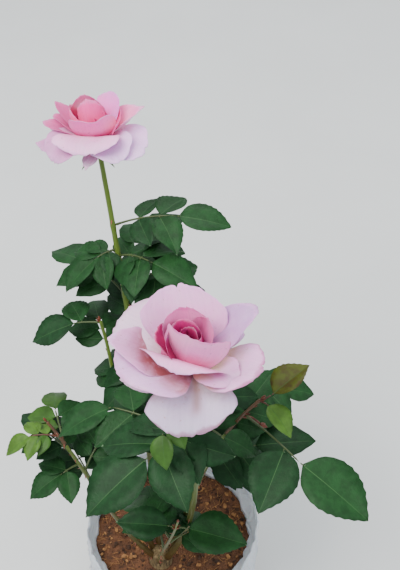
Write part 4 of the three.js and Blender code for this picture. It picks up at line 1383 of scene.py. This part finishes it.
def grow_bloom(name, petals, sizes, colours):
    """Opens one bloom: its petals, joined by tone, and the hip and bent sepals under them."""
    bloom = BLOOMS[name]
    place = Matrix.Translation(bloom["centre"]) @ bloom_turn(bloom).to_4x4()
    node = f"bloom_{name}"
    for tone in dict.fromkeys(petal.tone for petal in petals):
        bm = bmesh.new()
        bm.loops.layers.uv.new("petal")
        for petal in petals:
            if petal.tone == tone:
                petal_sheet(bm, petal, *PETAL_GRID, sizes.petal_thickness / MM)
        bm.transform(place)
        material = bpy.data.materials.get(f"{tone}_petal") or petal_material(tone, colours.blush)
        add_piece(f"{tone}_petals_{name}", bm, [material], [node])

    bm = bmesh.new()
    bm.loops.layers.uv.new("petal")
    for k in range(5):
        sepal = Petal("green", 36 + 72 * k, 22, 8, 102, 116, 122, 8, out=2.5, up=-4, corner=0.15,
                      point=5, top=0.1)
        petal_sheet(bm, sepal, *SEPAL_GRID, 0.6)
    profile = [(0.01, -HIP), (2.6, -HIP), (4.6, -7), (5.6, -4), (5.2, -1), (6.5, 3), (6.0, 6),
               (0.01, 7)]
    verts = [bm.verts.new((x, 0, z)) for x, z in profile]
    edges = [bm.edges.new(pair) for pair in zip(verts, verts[1:])]
    bmesh.ops.spin(bm, geom=verts + edges, cent=(0, 0, 0), axis=(0, 0, 1), angle=math.tau,
                   steps=18, use_merge=True)
    bmesh.ops.remove_doubles(bm, verts=bm.verts, dist=0.02)
    bmesh.ops.recalc_face_normals(bm, faces=bm.faces)
    bm.transform(place)
    # the hip and sepals are smooth and a little waxy
    green = bpy.data.materials.get("rose_hip_green") or mottled(
        "rose_hip_green", srgb("#4f6b2c"), 6, 0.12, {"Roughness": 0.5, "Specular IOR Level": 0.3})
    add_piece(f"hip_{name}", bm, [green], [node])


class ROSE_OT_blooms(bpy.types.Operator):
    """Opens the two blooms petal by petal"""
    bl_idname = "rose.blooms"
    bl_label = "Blooms"

    def execute(self, context):
        sizes, colours = context.scene.rose_sizes, context.scene.rose_colours
        grow_bloom("front", petals_front(), sizes, colours)
        grow_bloom("rear", petals_rear(), sizes, colours)
        return {"FINISHED"}


class ROSE_PT_panel(bpy.types.Panel):
    """Lists the sizes, the colours and the operators"""
    bl_idname = "ROSE_PT_panel"
    bl_label = "Rose bush"
    bl_space_type = "VIEW_3D"
    bl_region_type = "UI"
    bl_category = "Rose bush"

    def draw(self, context):
        for group in (context.scene.rose_sizes, context.scene.rose_colours):
            for key in group.__annotations__:
                self.layout.prop(group, key)
        for operator in OPERATORS:
            self.layout.operator(operator.bl_idname)


OPERATORS = (ROSE_OT_stage, ROSE_OT_bag, ROSE_OT_coir, ROSE_OT_canes, ROSE_OT_foliage,
             ROSE_OT_blooms)
CLASSES = (RoseSizes, RoseColours, *OPERATORS, ROSE_PT_panel)


def register():
    for kind in CLASSES:
        bpy.utils.register_class(kind)
    bpy.types.Scene.rose_sizes = bpy.props.PointerProperty(type=RoseSizes)
    bpy.types.Scene.rose_colours = bpy.props.PointerProperty(type=RoseColours)


def unregister():
    del bpy.types.Scene.rose_colours
    del bpy.types.Scene.rose_sizes
    for kind in reversed(CLASSES):
        bpy.utils.unregister_class(kind)


def main():
    register()
    bpy.ops.rose.stage()
    bpy.ops.rose.bag()
    bpy.ops.rose.coir()
    bpy.ops.rose.canes()
    bpy.ops.rose.foliage()
    bpy.ops.rose.blooms()


if __name__ == "__main__":
    main()
